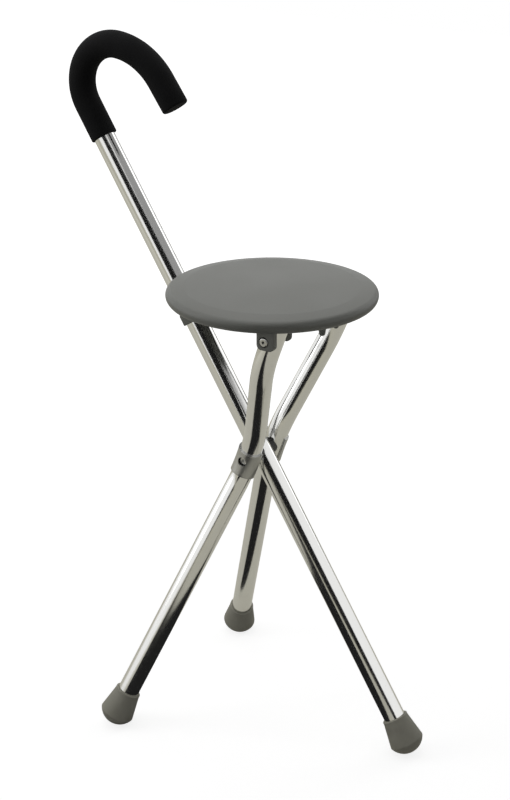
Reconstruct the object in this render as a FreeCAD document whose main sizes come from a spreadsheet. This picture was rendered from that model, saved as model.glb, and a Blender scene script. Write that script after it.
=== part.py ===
"""Walking stick seat: a crook-handled cane that opens into a three-legged stool.

One straight cane and two bent side legs cross at a hub bolt. The round seat turns on two
screws at the leg tops, and a fork under its rim straddles the cane. Folding turns both legs
about the hub until they lie beside the cane, while the seat swings up and lies over them.

Frame: millimetres, +Z up, +X across the seat along all hinge axes, the cane in the plane
X = 0 with its foot towards -Y and its handle towards +Y. The origin is on the floor under
the middle of the whole object. Left is -X, as seen by someone who sits facing the handle.
"""
import FreeCAD, Part
import Sketcher
import math
import os

# Driving sizes, in millimetres and degrees
SIZES = {
    # Cane and legs are drawn from the same tube
    "tube_od": 22.0,
    "tube_wall": 1.5,
    # Stance: lean of the cane and of the legs from upright, seen from the side
    "cane_angle": 32.1,
    "leg_angle": 20.3,
    "hub_height": 295.3,
    # Bends of a side leg, seen square to the plane that it is bent in
    "bend_radius": 110.0,
    "lower_splay_angle": 18.2,
    "upper_splay_angle": 22.1,
    "leg_stub": 13.5,
    # Crook of the cane: a tight bend, then a wider one, then a straight tail
    "hook_start": 387.8,
    "hook_radius": 40.9,
    "hook_bend_angle": 128.0,
    "hook_wide_radius": 72.8,
    "hook_wide_bend_angle": 48.9,
    "hook_tail": 29.2,
    "grip_start": 351.0,
    "grip_wall": 2.5,
    "grip_end_wall": 4.0,
    "grip_end_round": 3.6,
    "grip_mouth_round": 1.2,
    # Plastic plugs that close tube ends
    "plug_flange": 1.5,
    "plug_depth": 12.0,
    "cap_flange": 1.0,
    "cap_depth": 3.2,
    # Rubber foot, measured along its tube from the domed sole
    "tip_length": 40.0,
    "tip_sole": 9.5,
    "tip_rim_wall": 2.1,
    "tip_max_radius": 17.8,
    "tip_dome": 12.0,
    "tip_edge_round": 1.5,
    "tip_rim_round": 0.6,
    "tip_flat": 0.4,
    "disc_thickness": 1.5,
    # Hub stack along the hub bolt
    "hub_bolt_d": 5.0,
    "hub_bush_od": 7.0,
    "hub_flange_d": 9.0,
    "hub_flange": 1.0,
    "hub_face_gap": 0.2,
    "spacer_web": 0.6,
    "spacer_d": 18.0,
    "spacer_depth": 5.0,
    "hub_head_d": 8.5,
    "hub_head_height": 3.0,
    "hub_head_sink": 4.5,
    "hub_socket": 3.0,
    "hub_nut_flats": 8.0,
    "hub_nut_height": 5.0,
    "bolt_end": 0.5,
    # Moulded saddle on the outer side of each leg at the hub
    "saddle_wall": 1.8,
    "saddle_above": 11.5,
    "saddle_below": 18.0,
    "saddle_wrap": 2.0,
    "saddle_round": 0.5,
    "recess_clearance": 0.15,
    "tube_hole_ease": 0.35,
    # Seat
    # The pins' place beside and behind the seat's axis is given as shares of its radius
    "seat_radius": 103.5,
    "pin_side_ratio": 0.63768,
    "pin_back_ratio": 0.42407,
    "seat_flat_radius": 86.0,
    "seat_shoulder": 60.0,
    "seat_plate": 3.5,
    "bead_radius": 7.0,
    "bead_lip": 3.0,
    "rim_drop": 9.8,
    "rest_gap": 0.35,
    "rib_wall": 2.5,
    "rib_lift": 1.3,
    "rib_ring_radius": 24.0,
    "rib_count": 8,
    # Ears of the seat, which hold the leg tops between them
    "ear_gap": 0.4,
    "ear_outer_wall": 6.5,
    "ear_inner_wall": 4.0,
    "ear_back": 8.0,
    "ear_front": 10.7,
    "ear_outer_below": 8.2,
    "ear_inner_below": 6.6,
    "ear_corner": 5.0,
    "seat_screw_d": 5.0,
    "seat_bush_od": 7.0,
    "seat_head_d": 8.8,
    "seat_head_height": 3.0,
    "seat_head_sink": 2.2,
    "seat_socket": 3.0,
    "seat_recess_d": 10.5,
    "seat_nut_flats": 8.0,
    "seat_nut_height": 4.0,
    # Fork of the seat, which straddles the cane
    "fork_gap": 0.4,
    "fork_wall": 3.0,
    "fork_reach": 41.7,
    "fork_sink": 15.7,
    "fork_behind": 6.2,
    "fork_before": 12.0,
    "fork_root": 24.5,
    # Clip of the seat, whose two arms hold the folded cane between them
    "clip_gap": 0.4,
    "clip_wall": 3.0,
    "clip_ahead": 20.7,
    "clip_below": 10.8,
    "clip_length": 6.0,
    "clip_root": 16.0,
    # Clearances: a turning shaft in its hole, and a piece pressed on or in a tube
    "running_gap": 0.05,
    "seat_gap": 0.05,
    "head_round": 0.9,
    "socket_depth": 2.0,
}

# Places worked out from the driving sizes; a name in braces is a size or an earlier line here
FORMULAS = {
    "tube_r": "{tube_od} / 2",
    "bore_r": "{tube_r} - {tube_wall}",
    # Leg tops: their place under the seat goes with its radius
    "leg_top_offset": "{seat_radius} * {pin_side_ratio}",
    "pin_back": "{seat_radius} * {pin_back_ratio}",
    # Hub: half distance between the tubes' axes where they cross
    "hub_face": "{tube_r} + {spacer_web}",
    "leg_face": "{hub_face} + {hub_face_gap}",
    "hub_x": "{leg_face} + {spacer_web} + {tube_r}",
    "bend_x": "{hub_x} + {bend_radius}",
    "hub_seat_x": "{hub_x} + {tube_r} - {hub_head_sink}",
    "recess_r": "{hub_nut_flats} / sqrt(3) + {recess_clearance}",
    "bush_hole_r": "{hub_bush_od} / 2 + {running_gap}",
    "saddle_r": "{tube_r} + {saddle_wall}",
    # Foot: the sole is a part of a ball, so its height over the floor is the same at any lean
    "sole_r": "({tip_max_radius} ^ 2 + {tip_dome} ^ 2) / (2 * {tip_dome})",
    "sole_z": "{sole_r} - {tip_flat}",
    "tip_step": "{tip_sole} + {disc_thickness}",
    "cane_foot": "({hub_height} - {sole_z}) / cos({cane_angle}) + {sole_r}",
    "cane_end": "{cane_foot} - {tip_step}",
    "lower_x": "{hub_x} + {bend_radius} * (1 - cos({lower_splay_angle}))",
    "lower_z": "{bend_radius} * sin({lower_splay_angle})",
    "lower_run": "(({hub_height} - {sole_z}) / cos({leg_angle}) - {lower_z}) / cos({lower_splay_angle})",
    "leg_foot": "{lower_run} + {sole_r}",
    "leg_end": "{leg_foot} - {tip_step}",
    "upper_x": "{hub_x} + {bend_radius} * (1 - cos({upper_splay_angle}))",
    "upper_z": "{bend_radius} * sin({upper_splay_angle})",
    "upper_run": "({leg_top_offset} - 2 * {upper_x} + {hub_x}) / sin({upper_splay_angle})",
    "knee_z": "{upper_z} + {upper_run} * cos({upper_splay_angle})",
    "knee_x": "{leg_top_offset} - {upper_x} + {hub_x}",
    # Crook: the ends of its two bends
    "hook_turn": "{hook_bend_angle} + {hook_wide_bend_angle}",
    "bend_y": "-{hook_radius} * (1 - cos({hook_bend_angle}))",
    "bend_z": "{hook_start} + {hook_radius} * sin({hook_bend_angle})",
    "crook_y": "{bend_y} + {hook_wide_radius} * (cos({hook_turn}) - cos({hook_bend_angle}))",
    "crook_z": "{bend_z} + {hook_wide_radius} * (sin({hook_turn}) - sin({hook_bend_angle}))",
    "grip_r": "{tube_r} + {grip_wall}",
    "tube_tail": "{hook_tail} - {grip_end_wall} - {plug_flange}",
    "cavity_tail": "{hook_tail} - {grip_end_wall}",
    # Seat, whose frame has its origin on the seat's axis at the height of the pins
    "bead_z": "{rim_drop} + {bead_radius}",
    "bead_x": "{seat_radius} - {bead_radius}",
    "shoulder_dx": "{bead_x} - {seat_flat_radius}",
    "shoulder_dz": "sqrt(({seat_shoulder} - {bead_radius}) ^ 2 - {shoulder_dx} ^ 2)",
    "seat_top": "{bead_z} + {seat_shoulder} - {shoulder_dz}",
    "shoulder_share": "{seat_shoulder} / ({seat_shoulder} - {bead_radius})",
    "shoulder_x": "{seat_flat_radius} + {shoulder_dx} * {shoulder_share}",
    "shoulder_z": "{seat_top} - {seat_shoulder} + {shoulder_dz} * {shoulder_share}",
    "seat_under": "{seat_top} - {seat_plate}",
    "rim_inner": "{bead_x} - {bead_lip}",
    # The rim's bead just clears the cane, which sets the pins' distance from the hub
    "cane_reach": "{tube_r} + {bead_radius} + {rest_gap}",
    "bead_rise": "({cane_reach} - {bead_z} * sin({cane_angle})) / cos({cane_angle})",
    "pin_slope": "cos({leg_angle}) * tan({cane_angle}) + sin({leg_angle})",
    "pin_distance": "({bead_x} + {pin_back} + {bead_rise}) / {pin_slope}",
    "pin_y": "-{pin_distance} * sin({leg_angle})",
    "pin_z": "{pin_distance} * cos({leg_angle})",
    "leg_top": "{pin_distance} + {leg_stub} - {cap_flange}",
    "seat_y": "{pin_y} + {pin_back}",
    "bead_y": "{seat_y} + {bead_x}",
    "bead_run": "{bead_y} * sin({cane_angle}) + ({pin_z} + {bead_z}) * cos({cane_angle})",
    "ear_outer_x": "{leg_top_offset} + {tube_r} + {ear_gap}",
    "ear_inner_x": "{leg_top_offset} - {tube_r} - {ear_gap}",
    "ear_root": "{seat_under} + {seat_plate} / 4",
    "fork_x": "{tube_r} + {fork_gap}",
    "clip_x": "{tube_r} + {clip_gap}",
    "clip_y": "-{pin_back} - {clip_ahead}",
    # The object's middle, between the toe of the cane's foot and the back of the crook
    "toe_y": "-({hub_height} - {sole_z}) * tan({cane_angle}) - {sole_r}",
    "crook_centre_y": "{hook_start} * sin({cane_angle}) - {hook_radius} * cos({cane_angle})",
    "heel_y": "{crook_centre_y} + {hook_radius} + {grip_r}",
    "hub_y": "-({toe_y} + {heel_y}) / 2",
}


def lookup_table():
    """Names for use in formulas: each driving size, and each worked-out place in brackets."""
    table = {name: "Sizes." + name for name in SIZES}
    for name, text in FORMULAS.items():
        table[name] = "(" + text.format_map(table) + ")"
    return table


LOOKUP = lookup_table()


def formula(text):
    """The expression behind a text with names in braces."""
    return text.format_map(LOOKUP)


# Frames of the moving bodies, each with its own origin on a hinge axis
CANE_FRAME = formula(
    "placement(vector(0; {hub_y}; {hub_height}); rotation(vector(1; 0; 0); -{cane_angle}))"
)
LEG_FRAME = formula(
    "placement(vector(0; {hub_y}; {hub_height}); rotation(vector(1; 0; 0); {leg_angle}))"
)
SEAT_FRAME = formula(
    "placement(vector(0; {hub_y} + {seat_y}; {hub_height} + {pin_z});"
    " rotation(vector(1; 0; 0); 0))"
)

doc = FreeCAD.newDocument("WalkingStickSeat")
sheet = doc.addObject("Spreadsheet::Sheet", "Sizes")
for row, (alias, size) in enumerate(SIZES.items(), start=1):
    sheet.set("A%d" % row, alias.replace("_", " "))
    sheet.set("B%d" % row, str(size))
    sheet.setAlias("B%d" % row, alias)
doc.recompute()

nodes = []


def number(text):
    """The present value of a text with names in braces."""
    return float(sheet.evalExpression(formula(text)))


def keep(piece, node):
    """Name a finished piece and put it on the list of nodes."""
    piece.Label = node
    nodes.append(piece)
    return piece


def new_body(name, frame):
    """A body whose own frame is one of the moving bodies' frames, or lies in one."""
    body = doc.addObject("PartDesign::Body", name)
    body.setExpression("Placement", frame)
    return body


def frame_at(frame, place, turn="0", about="1; 0; 0"):
    """A frame at a place in another, turned about one of its axes."""
    spot = formula("placement(vector(%s); rotation(vector(%s); %s))" % (place, about, turn))
    return frame + " * " + spot


def origin_plane(body, role):
    """One of a body's own origin planes."""
    return next(plane for plane in body.Origin.OriginFeatures if plane.Role == role)


def new_sketch(body, role, name, offset):
    """A sketch on an origin plane, or on a plane beside it."""
    sketch = body.newObject("Sketcher::SketchObject", name)
    sketch.AttachmentSupport = [(origin_plane(body, role), "")]
    sketch.MapMode = "FlatFace"
    if offset:
        sketch.setExpression("AttachmentOffset.Base.z", formula(offset))
    return sketch


def pin_point(sketch, index, end, place):
    """Hold one point of a sketch at a place, by its two expressions."""
    for kind, axis, text in (("DistanceX", -2, place[0]), ("DistanceY", -1, place[1])):
        if text == "0":
            sketch.addConstraint(Sketcher.Constraint("PointOnObject", index, end, axis))
            continue
        rule = Sketcher.Constraint(kind, -1, 1, index, end, number(text))
        held = sketch.addConstraint(rule)
        sketch.setExpression("Constraints[%d]" % held, formula(text))


def arc_between(start, end, radius, turn):
    """The short arc of a radius from start to end; turn is 1 to the left, -1 to the right."""
    chord = end - start
    middle = (start + end) * 0.5
    rise = math.sqrt(max(radius ** 2 - (chord.Length / 2) ** 2, 0.0))
    across = FreeCAD.Vector(-chord.y, chord.x, 0).normalize()
    centre = middle + across * rise * turn
    first, last = (start, end) if turn > 0 else (end, start)
    angles = [math.atan2(p.y - centre.y, p.x - centre.x) for p in (first, last)]
    circle = Part.Circle(centre, FreeCAD.Vector(0, 0, 1), radius)
    return Part.ArcOfCircle(circle, angles[0], angles[1])


def outline(body, role, corners, arcs=None, closed=True, offset=None, name="Outline"):
    """A chain of lines and arcs; arcs gives radius and turn by the number of its first corner."""
    arcs = arcs or {}
    sketch = new_sketch(body, role, name, offset)
    spots = [FreeCAD.Vector(number(x), number(y), 0) for x, y in corners]
    count = len(corners) if closed else len(corners) - 1
    ends = []
    for i in range(count):
        start = spots[i]
        end = spots[(i + 1) % len(spots)]
        if i in arcs:
            radius, turn = arcs[i]
            index = sketch.addGeometry(arc_between(start, end, number(radius), turn), False)
            held = sketch.addConstraint(Sketcher.Constraint("Radius", index, number(radius)))
            sketch.setExpression("Constraints[%d]" % held, formula(radius))
            ends.append((index, 1, 2) if turn > 0 else (index, 2, 1))
        else:
            index = sketch.addGeometry(Part.LineSegment(start, end), False)
            ends.append((index, 1, 2))
    for i, (index, first, last) in enumerate(ends):
        pin_point(sketch, index, first, corners[i])
        follower = ends[(i + 1) % len(ends)] if closed or i + 1 < len(ends) else None
        if follower:
            joint = Sketcher.Constraint("Coincident", index, last, follower[0], follower[1])
            sketch.addConstraint(joint)
        else:
            pin_point(sketch, index, last, corners[-1])
    return sketch


def rounds(body, role, circles, offset=None, name="Rounds"):
    """Circles, each as x, y and radius."""
    sketch = new_sketch(body, role, name, offset)
    for x, y, radius in circles:
        centre = FreeCAD.Vector(number(x), number(y), 0)
        circle = Part.Circle(centre, FreeCAD.Vector(0, 0, 1), number(radius))
        index = sketch.addGeometry(circle, False)
        pin_point(sketch, index, 3, (x, y))
        held = sketch.addConstraint(Sketcher.Constraint("Radius", index, number(radius)))
        sketch.setExpression("Constraints[%d]" % held, formula(radius))
    return sketch


def hexagon(body, flats, offset=None, name="Hexagon"):
    """A hexagon in the YZ plane round the X axis, by its width across flats."""
    corners = []
    for i in range(6):
        reach = "%s / sqrt(3)" % flats
        corners.append(("%s * cos(%d)" % (reach, 60 * i + 30), "%s * sin(%d)" % (reach, 60 * i + 30)))
    return outline(body, "YZ_Plane", corners, offset=offset, name=name)


def pad(body, sketch, length, side="One side", backwards=False):
    """Raise a sketch into a solid."""
    feature = body.newObject("PartDesign::Pad", "Pad")
    feature.Profile = sketch
    feature.SideType = side
    feature.Reversed = backwards
    feature.setExpression("Length", formula(length))
    doc.recompute()
    return feature


def pocket(body, sketch, length, side="Symmetric", backwards=False):
    """Cut a sketch out of the body, and make sure that it cut something."""
    before = body.Shape.Volume
    feature = body.newObject("PartDesign::Pocket", "Pocket")
    feature.Profile = sketch
    feature.SideType = side
    feature.Reversed = backwards
    feature.setExpression("Length", formula(length))
    doc.recompute()
    if not body.Shape.Volume < before:
        raise ValueError("A pocket of %s cuts nothing" % body.Label)
    return feature


def spin(body, sketch, axis="V_Axis", angle="360", other_angle=None):
    """Turn a sketch about one of its own axes, one way or both ways."""
    feature = body.newObject("PartDesign::Revolution", "Revolution")
    feature.Profile = sketch
    feature.ReferenceAxis = (sketch, [axis])
    feature.setExpression("Angle", formula(angle))
    if other_angle:
        feature.Type = "TwoAngles"
        feature.setExpression("Angle2", formula(other_angle))
    doc.recompute()
    return feature


def pipe(body, section, route, cut=False):
    """Carry a section along a route, added to the body or cut out of it."""
    kind = "PartDesign::SubtractivePipe" if cut else "PartDesign::AdditivePipe"
    feature = body.newObject(kind, "Pipe")
    feature.Profile = section
    feature.Spine = route
    doc.recompute()
    return feature


def round_edges(body, radius, wanted):
    """Round the edges of the body for which wanted is true."""
    names = []
    for i, edge in enumerate(body.Tip.Shape.Edges, start=1):
        if not edge.Degenerated and wanted(edge):
            names.append("Edge%d" % i)
    if not names:
        raise ValueError("No edge of %s is left to round" % body.Label)
    base = body.Tip
    feature = body.newObject("PartDesign::Fillet", "Fillet")
    feature.Base = (base, names)
    feature.setExpression("Radius", formula(radius))
    doc.recompute()
    return feature


def near(value, text, margin=0.02):
    """Whether a measured value is the value of a text."""
    return abs(value - number(text)) < margin


def is_ring(edge, radius, height=None, along="z"):
    """Whether an edge is a circle of a radius, and at a height along an axis."""
    if not isinstance(edge.Curve, Part.Circle) or not near(edge.Curve.Radius, radius):
        return False
    return height is None or near(getattr(edge.Curve.Center, along), height)


def turned(name, frame, corners, along_x=False):
    """A body turned from one outline of straight sides, about Z or about X."""
    body = new_body(name, frame)
    sketch = outline(body, "XZ_Plane", corners)
    spin(body, sketch, "H_Axis" if along_x else "V_Axis")
    return body


def sleeve(name, frame, start, end, outer, inner, flange=None):
    """A sleeve along X, with a flange of a radius and thickness at its far end."""
    corners = [(start, inner), (start, outer)]
    if flange:
        radius, thickness = flange
        corners += [(end + " - " + thickness, outer), (end + " - " + thickness, radius), (end, radius)]
    else:
        corners.append((end, outer))
    corners.append((end, inner))
    return turned(name, frame, corners, along_x=True)


def mirrored(piece, node):
    """The same piece on the other side of the plane X = 0."""
    twin = doc.addObject("Part::Mirroring", node)
    twin.Source = piece
    twin.Normal = FreeCAD.Vector(1, 0, 0)
    twin.Base = FreeCAD.Vector(0, 0, 0)
    return twin


def pair(piece, node):
    """A piece and its mirror image as one node of two solids."""
    twin = mirrored(piece, node + "_twin")
    group = doc.addObject("Part::Compound", node)
    group.Links = [piece, twin]
    return keep(group, node)


def both_sides(piece, part_name):
    """Keep a piece of the right leg, and its mirror image as the left leg's."""
    keep(piece, "right_" + part_name)
    keep(mirrored(piece, "left_" + part_name), "left_" + part_name)


# Cane: a straight tube with a crook, a foam grip and a plug

def crook_route(body, start, tail):
    """The cane's centre line from a height on the shaft to the end of the crook's tail."""
    corners = [
        ("0", start),
        ("0", "{hook_start}"),
        ("{bend_y}", "{bend_z}"),
        ("{crook_y}", "{crook_z}"),
        ("{crook_y} - %s * sin({hook_turn})" % tail, "{crook_z} + %s * cos({hook_turn})" % tail),
    ]
    arcs = {1: ("{hook_radius}", 1), 2: ("{hook_wide_radius}", 1)}
    return outline(body, "YZ_Plane", corners, arcs, closed=False, name="Route")


def make_cane_tube():
    """The bent tube, with a cross hole for the hub's sleeve."""
    body = new_body("CaneTube", CANE_FRAME)
    route = crook_route(body, "-{cane_end}", "{tube_tail}")
    ring = rounds(body, "XY_Plane", [("0", "0", "{tube_r}"), ("0", "0", "{bore_r}")], "-{cane_end}")
    pipe(body, ring, route)
    hole = rounds(body, "YZ_Plane", [("0", "0", "{bush_hole_r}")])
    pocket(body, hole, "2 * {tube_od}")
    return keep(body, "cane_tube")


def make_handle_grip():
    """Foam drawn over the crook: closed and rounded at the end, open at the shaft."""
    body = new_body("HandleGrip", CANE_FRAME)
    outer = crook_route(body, "{grip_start}", "{hook_tail}")
    disc = rounds(body, "XY_Plane", [("0", "0", "{grip_r}")], "{grip_start}")
    pipe(body, disc, outer)
    inner = crook_route(body, "{grip_start}", "{cavity_tail}")
    bore = rounds(body, "XY_Plane", [("0", "0", "{tube_r} + {seat_gap}")], "{grip_start}")
    pipe(body, bore, inner, cut=True)
    tail = number("{crook_z} + {hook_tail} * cos({hook_turn})")
    mouth = number("{grip_start}")

    def at_tail(edge):
        return is_ring(edge, "{grip_r}") and abs(edge.Curve.Center.z - tail) < 0.1

    def at_mouth(edge):
        return is_ring(edge, "{grip_r}") and abs(edge.Curve.Center.z - mouth) < 0.1

    round_edges(body, "{grip_end_round}", at_tail)
    round_edges(body, "{grip_mouth_round}", at_mouth)
    return keep(body, "handle_grip")


def make_end_plug(name, frame, flange, depth):
    """A plug with a thin flange over the tube's end; its frame looks out of the tube."""
    corners = [
        ("0", flange),
        ("{tube_r}", flange),
        ("{tube_r}", "0"),
        ("{bore_r} - {seat_gap}", "0"),
        ("{bore_r} - {seat_gap}", "-" + depth),
        ("0", "-" + depth),
    ]
    return turned(name, frame, corners)


def make_handle_plug():
    """The plug inside the foam, which keeps the tube's edge from cutting through."""
    place = (
        "0; {crook_y} - {tube_tail} * sin({hook_turn}); {crook_z} + {tube_tail} * cos({hook_turn})"
    )
    frame = frame_at(CANE_FRAME, place, "{hook_turn}")
    return keep(make_end_plug("HandlePlug", frame, "{plug_flange}", "{plug_depth}"), "handle_end_plug")


# Feet: each a rubber ferrule over the tube's end with a steel disc inside

def make_foot(name, frame):
    """A ferrule and its disc; the frame is on the sole and looks up the tube."""
    body = new_body(name + "Body", frame)
    corners = [
        ("0", "0"),
        ("{tip_max_radius}", "{tip_dome}"),
        ("{tube_r} + {tip_rim_wall}", "{tip_length}"),
        ("{tube_r} + {seat_gap}", "{tip_length}"),
        ("{tube_r} + {seat_gap}", "{tip_sole}"),
        ("0", "{tip_sole}"),
    ]
    sketch = outline(body, "XZ_Plane", corners, {0: ("{sole_r}", 1)})
    spin(body, sketch)
    round_edges(body, "{tip_edge_round}", lambda e: is_ring(e, "{tip_max_radius}", "{tip_dome}"))
    rim = "{tube_r} + {tip_rim_wall}"
    round_edges(body, "{tip_rim_round}", lambda e: is_ring(e, rim, "{tip_length}"))
    foot = doc.addObject("Part::Cut", name)
    foot.Base = body
    foot.Tool = floor_block
    disc = turned(name + "Disc", frame, [
        ("0", "{tip_sole}"),
        ("{tube_r}", "{tip_sole}"),
        ("{tube_r}", "{tip_step}"),
        ("0", "{tip_step}"),
    ])
    return foot, disc


def make_floor_block():
    """A block below the floor, which trims the soles flat where they stand."""
    block = doc.addObject("Part::Box", "FloorBlock")
    for side in ("Length", "Width"):
        block.setExpression(side, formula("2 * {hub_height} + 4 * {cane_foot}"))
    block.setExpression("Height", formula("{tip_length}"))
    block.setExpression("Placement.Base.x", formula("-({hub_height} + 2 * {cane_foot})"))
    block.setExpression("Placement.Base.y", formula("-({hub_height} + 2 * {cane_foot})"))
    block.setExpression("Placement.Base.z", formula("-{tip_length}"))
    return block


# Side legs: the right one is modelled, the left one is its mirror image

def make_leg_tube():
    """The bent tube, from the seat's pins down to the foot, with its cross holes."""
    body = new_body("LegTube", LEG_FRAME)
    corners = [
        ("{leg_top_offset}", "{leg_top}"),
        ("{leg_top_offset}", "{knee_z} + {upper_z}"),
        ("{knee_x}", "{knee_z}"),
        ("{upper_x}", "{upper_z}"),
        ("{lower_x}", "-{lower_z}"),
        (
            "{lower_x} + {leg_end} * sin({lower_splay_angle})",
            "-{lower_z} - {leg_end} * cos({lower_splay_angle})",
        ),
    ]
    arcs = {1: ("{bend_radius}", -1), 3: ("{bend_radius}", 1)}
    route = outline(body, "XZ_Plane", corners, arcs, closed=False, name="Route")
    circles = [("{leg_top_offset}", "0", "{tube_r}"), ("{leg_top_offset}", "0", "{bore_r}")]
    ring = rounds(body, "XY_Plane", circles, "{leg_top}")
    pipe(body, ring, route)
    hub_hole = rounds(body, "YZ_Plane", [("0", "0", "{bush_hole_r}")])
    pocket(body, hub_hole, "2 * {hub_x} + 2 * {tube_r}")
    head_hole = rounds(body, "YZ_Plane", [("0", "0", "{recess_r} + {tube_hole_ease}")], "{hub_x}")
    pocket(body, head_hole, "{tube_od}", side="One side", backwards=True)
    pin_hole = rounds(body, "YZ_Plane", [("0", "{pin_distance}", "{seat_bush_od} / 2 + {running_gap}")])
    pocket(body, pin_hole, "2 * {leg_top_offset} + 2 * {tube_od}")
    both_sides(body, "leg_tube")


def make_hub_saddle():
    """A moulded saddle on the leg's outer side, which the hub bolt's head sits in."""
    body = new_body("HubSaddle", LEG_FRAME)
    inner = "{tube_r} + {seat_gap}"
    ring = rounds(body, "XY_Plane", [("{hub_x}", "0", "{saddle_r}"), ("{hub_x}", "0", inner)])
    top = FreeCAD.Vector(number("{bend_x}"), number("{tube_od}"), 0)
    axis = ring.addGeometry(Part.LineSegment(FreeCAD.Vector(top.x, -top.y, 0), top), True)
    pin_point(ring, axis, 1, ("{bend_x}", "-{tube_od}"))
    pin_point(ring, axis, 2, ("{bend_x}", "{tube_od}"))
    per_length = " / {bend_radius} * 180 / pi"
    spin(body, ring, "Axis0", "{saddle_above}" + per_length, "{saddle_below}" + per_length)
    inside = outline(body, "XY_Plane", [
        ("{hub_x} - {saddle_wrap}", "{tube_od}"),
        ("{hub_x} - {saddle_wrap}", "-{tube_od}"),
        ("{hub_x} - {tube_od}", "-{tube_od}"),
        ("{hub_x} - {tube_od}", "{tube_od}"),
    ])
    pocket(body, inside, "2 * ({saddle_above} + {saddle_below})")
    hole = rounds(body, "YZ_Plane", [("0", "0", "{recess_r}")], "{hub_x}")
    pocket(body, hole, "{tube_od}", side="One side", backwards=True)

    def on_skin(point):
        """Whether a point is on the saddle's outer skin."""
        beside = math.hypot(point.x - number("{bend_x}"), point.z) - number("{bend_radius}")
        return near(math.hypot(beside, point.y), "{saddle_r}", 0.05)

    def in_recess(point):
        """Whether a point is on the recess for the bolt's head."""
        return near(math.hypot(point.y, point.z), "{recess_r}")

    def outer_edge(edge):
        """Whether an edge goes round the outer skin, away from the recess."""
        points = edge.discretize(5)
        return all(on_skin(p) for p in points) and not all(in_recess(p) for p in points)

    round_edges(body, "{saddle_round}", outer_edge)
    both_sides(body, "hub_saddle")


def make_leg_spacer():
    """A washer hollowed to the leg's bend, flat towards the cane's washer."""
    body = new_body("LegSpacer", LEG_FRAME)
    disc = rounds(
        body, "YZ_Plane", [("0", "0", "{spacer_d} / 2"), ("0", "0", "{bush_hole_r}")], "{leg_face}"
    )
    pad(body, disc, "{spacer_depth}")
    bend = doc.addObject("Part::Torus", "LegBend")
    bend.setExpression("Radius1", formula("{bend_radius}"))
    bend.setExpression("Radius2", formula("{tube_r} + {seat_gap}"))
    bend.setExpression("Placement", frame_at(LEG_FRAME, "{bend_x}; 0; 0", "90"))
    spacer = doc.addObject("Part::Cut", "LegSpacerCut")
    spacer.Base = body
    spacer.Tool = bend
    both_sides(spacer, "hub_spacer")


def make_leg_fittings():
    """Hub sleeve, seat pin sleeve, top cap and foot of a leg."""
    hub_sleeve = sleeve(
        "LegHubSleeve", LEG_FRAME, "{leg_face}", "{hub_seat_x}", "{hub_bush_od} / 2",
        "{hub_bolt_d} / 2 + {running_gap}", ("{hub_flange_d} / 2", "{hub_flange}"),
    )
    both_sides(hub_sleeve, "hub_sleeve")
    pin_frame = frame_at(LEG_FRAME, "{leg_top_offset}; 0; {pin_distance}")
    pin_sleeve = sleeve(
        "LegPinSleeve", pin_frame, "-{tube_r}", "{tube_r}", "{seat_bush_od} / 2",
        "{seat_screw_d} / 2 + {running_gap}",
    )
    both_sides(pin_sleeve, "pin_sleeve")
    top_frame = frame_at(LEG_FRAME, "{leg_top_offset}; 0; {leg_top}")
    both_sides(make_end_plug("LegCap", top_frame, "{cap_flange}", "{cap_depth}"), "leg_cap")
    sole_place = (
        "{lower_x} + {leg_foot} * sin({lower_splay_angle}); 0;"
        " -{lower_z} - {leg_foot} * cos({lower_splay_angle})"
    )
    foot_frame = frame_at(LEG_FRAME, sole_place, "-{lower_splay_angle}", "0; 1; 0")
    foot, disc = make_foot("LegFoot", foot_frame)
    both_sides(foot, "foot")
    both_sides(disc, "foot_disc")


# Hub: bolt, nut, the cane's sleeve and its two hollowed washers

def make_hub_bolt():
    """A socket-head bolt along X, its head at the left leg."""
    body = new_body("HubBolt", CANE_FRAME)
    corners = [
        ("-{hub_seat_x} - {hub_head_height}", "0"),
        ("-{hub_seat_x} - {hub_head_height}", "{hub_head_d} / 2"),
        ("-{hub_seat_x}", "{hub_head_d} / 2"),
        ("-{hub_seat_x}", "{hub_bolt_d} / 2"),
        ("{hub_seat_x} + {hub_nut_height} + {bolt_end}", "{hub_bolt_d} / 2"),
        ("{hub_seat_x} + {hub_nut_height} + {bolt_end}", "0"),
    ]
    spin(body, outline(body, "XZ_Plane", corners), "H_Axis")
    face = "-{hub_seat_x} - {hub_head_height}"
    round_edges(body, "{head_round}", lambda e: is_ring(e, "{hub_head_d} / 2", face, "x"))
    pocket(body, hexagon(body, "{hub_socket}", face), "{socket_depth}", "One side", True)
    return keep(body, "hub_bolt")


def make_hub_nut():
    """A hexagon nut at the right leg."""
    body = new_body("HubNut", CANE_FRAME)
    pad(body, hexagon(body, "{hub_nut_flats}", "{hub_seat_x}"), "{hub_nut_height}")
    bore = rounds(body, "YZ_Plane", [("0", "0", "{hub_bolt_d} / 2 + {running_gap}")])
    pocket(body, bore, "4 * {hub_seat_x}")
    return keep(body, "hub_nut")


def make_cane_spacers():
    """Two washers hollowed to the cane, flat towards the legs."""
    body = new_body("CaneSpacer", CANE_FRAME)
    disc = rounds(
        body, "YZ_Plane", [("0", "0", "{spacer_d} / 2"), ("0", "0", "{bush_hole_r}")], "{hub_face}"
    )
    pad(body, disc, "{spacer_depth}", backwards=True)
    shaft = doc.addObject("Part::Cylinder", "CaneShaft")
    shaft.setExpression("Radius", formula("{tube_r} + {seat_gap}"))
    shaft.setExpression("Height", formula("2 * {spacer_d}"))
    shaft.setExpression("Placement", frame_at(CANE_FRAME, "0; 0; -{spacer_d}"))
    spacer = doc.addObject("Part::Cut", "CaneSpacerCut")
    spacer.Base = body
    spacer.Tool = shaft
    return pair(spacer, "cane_hub_spacers")


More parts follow.
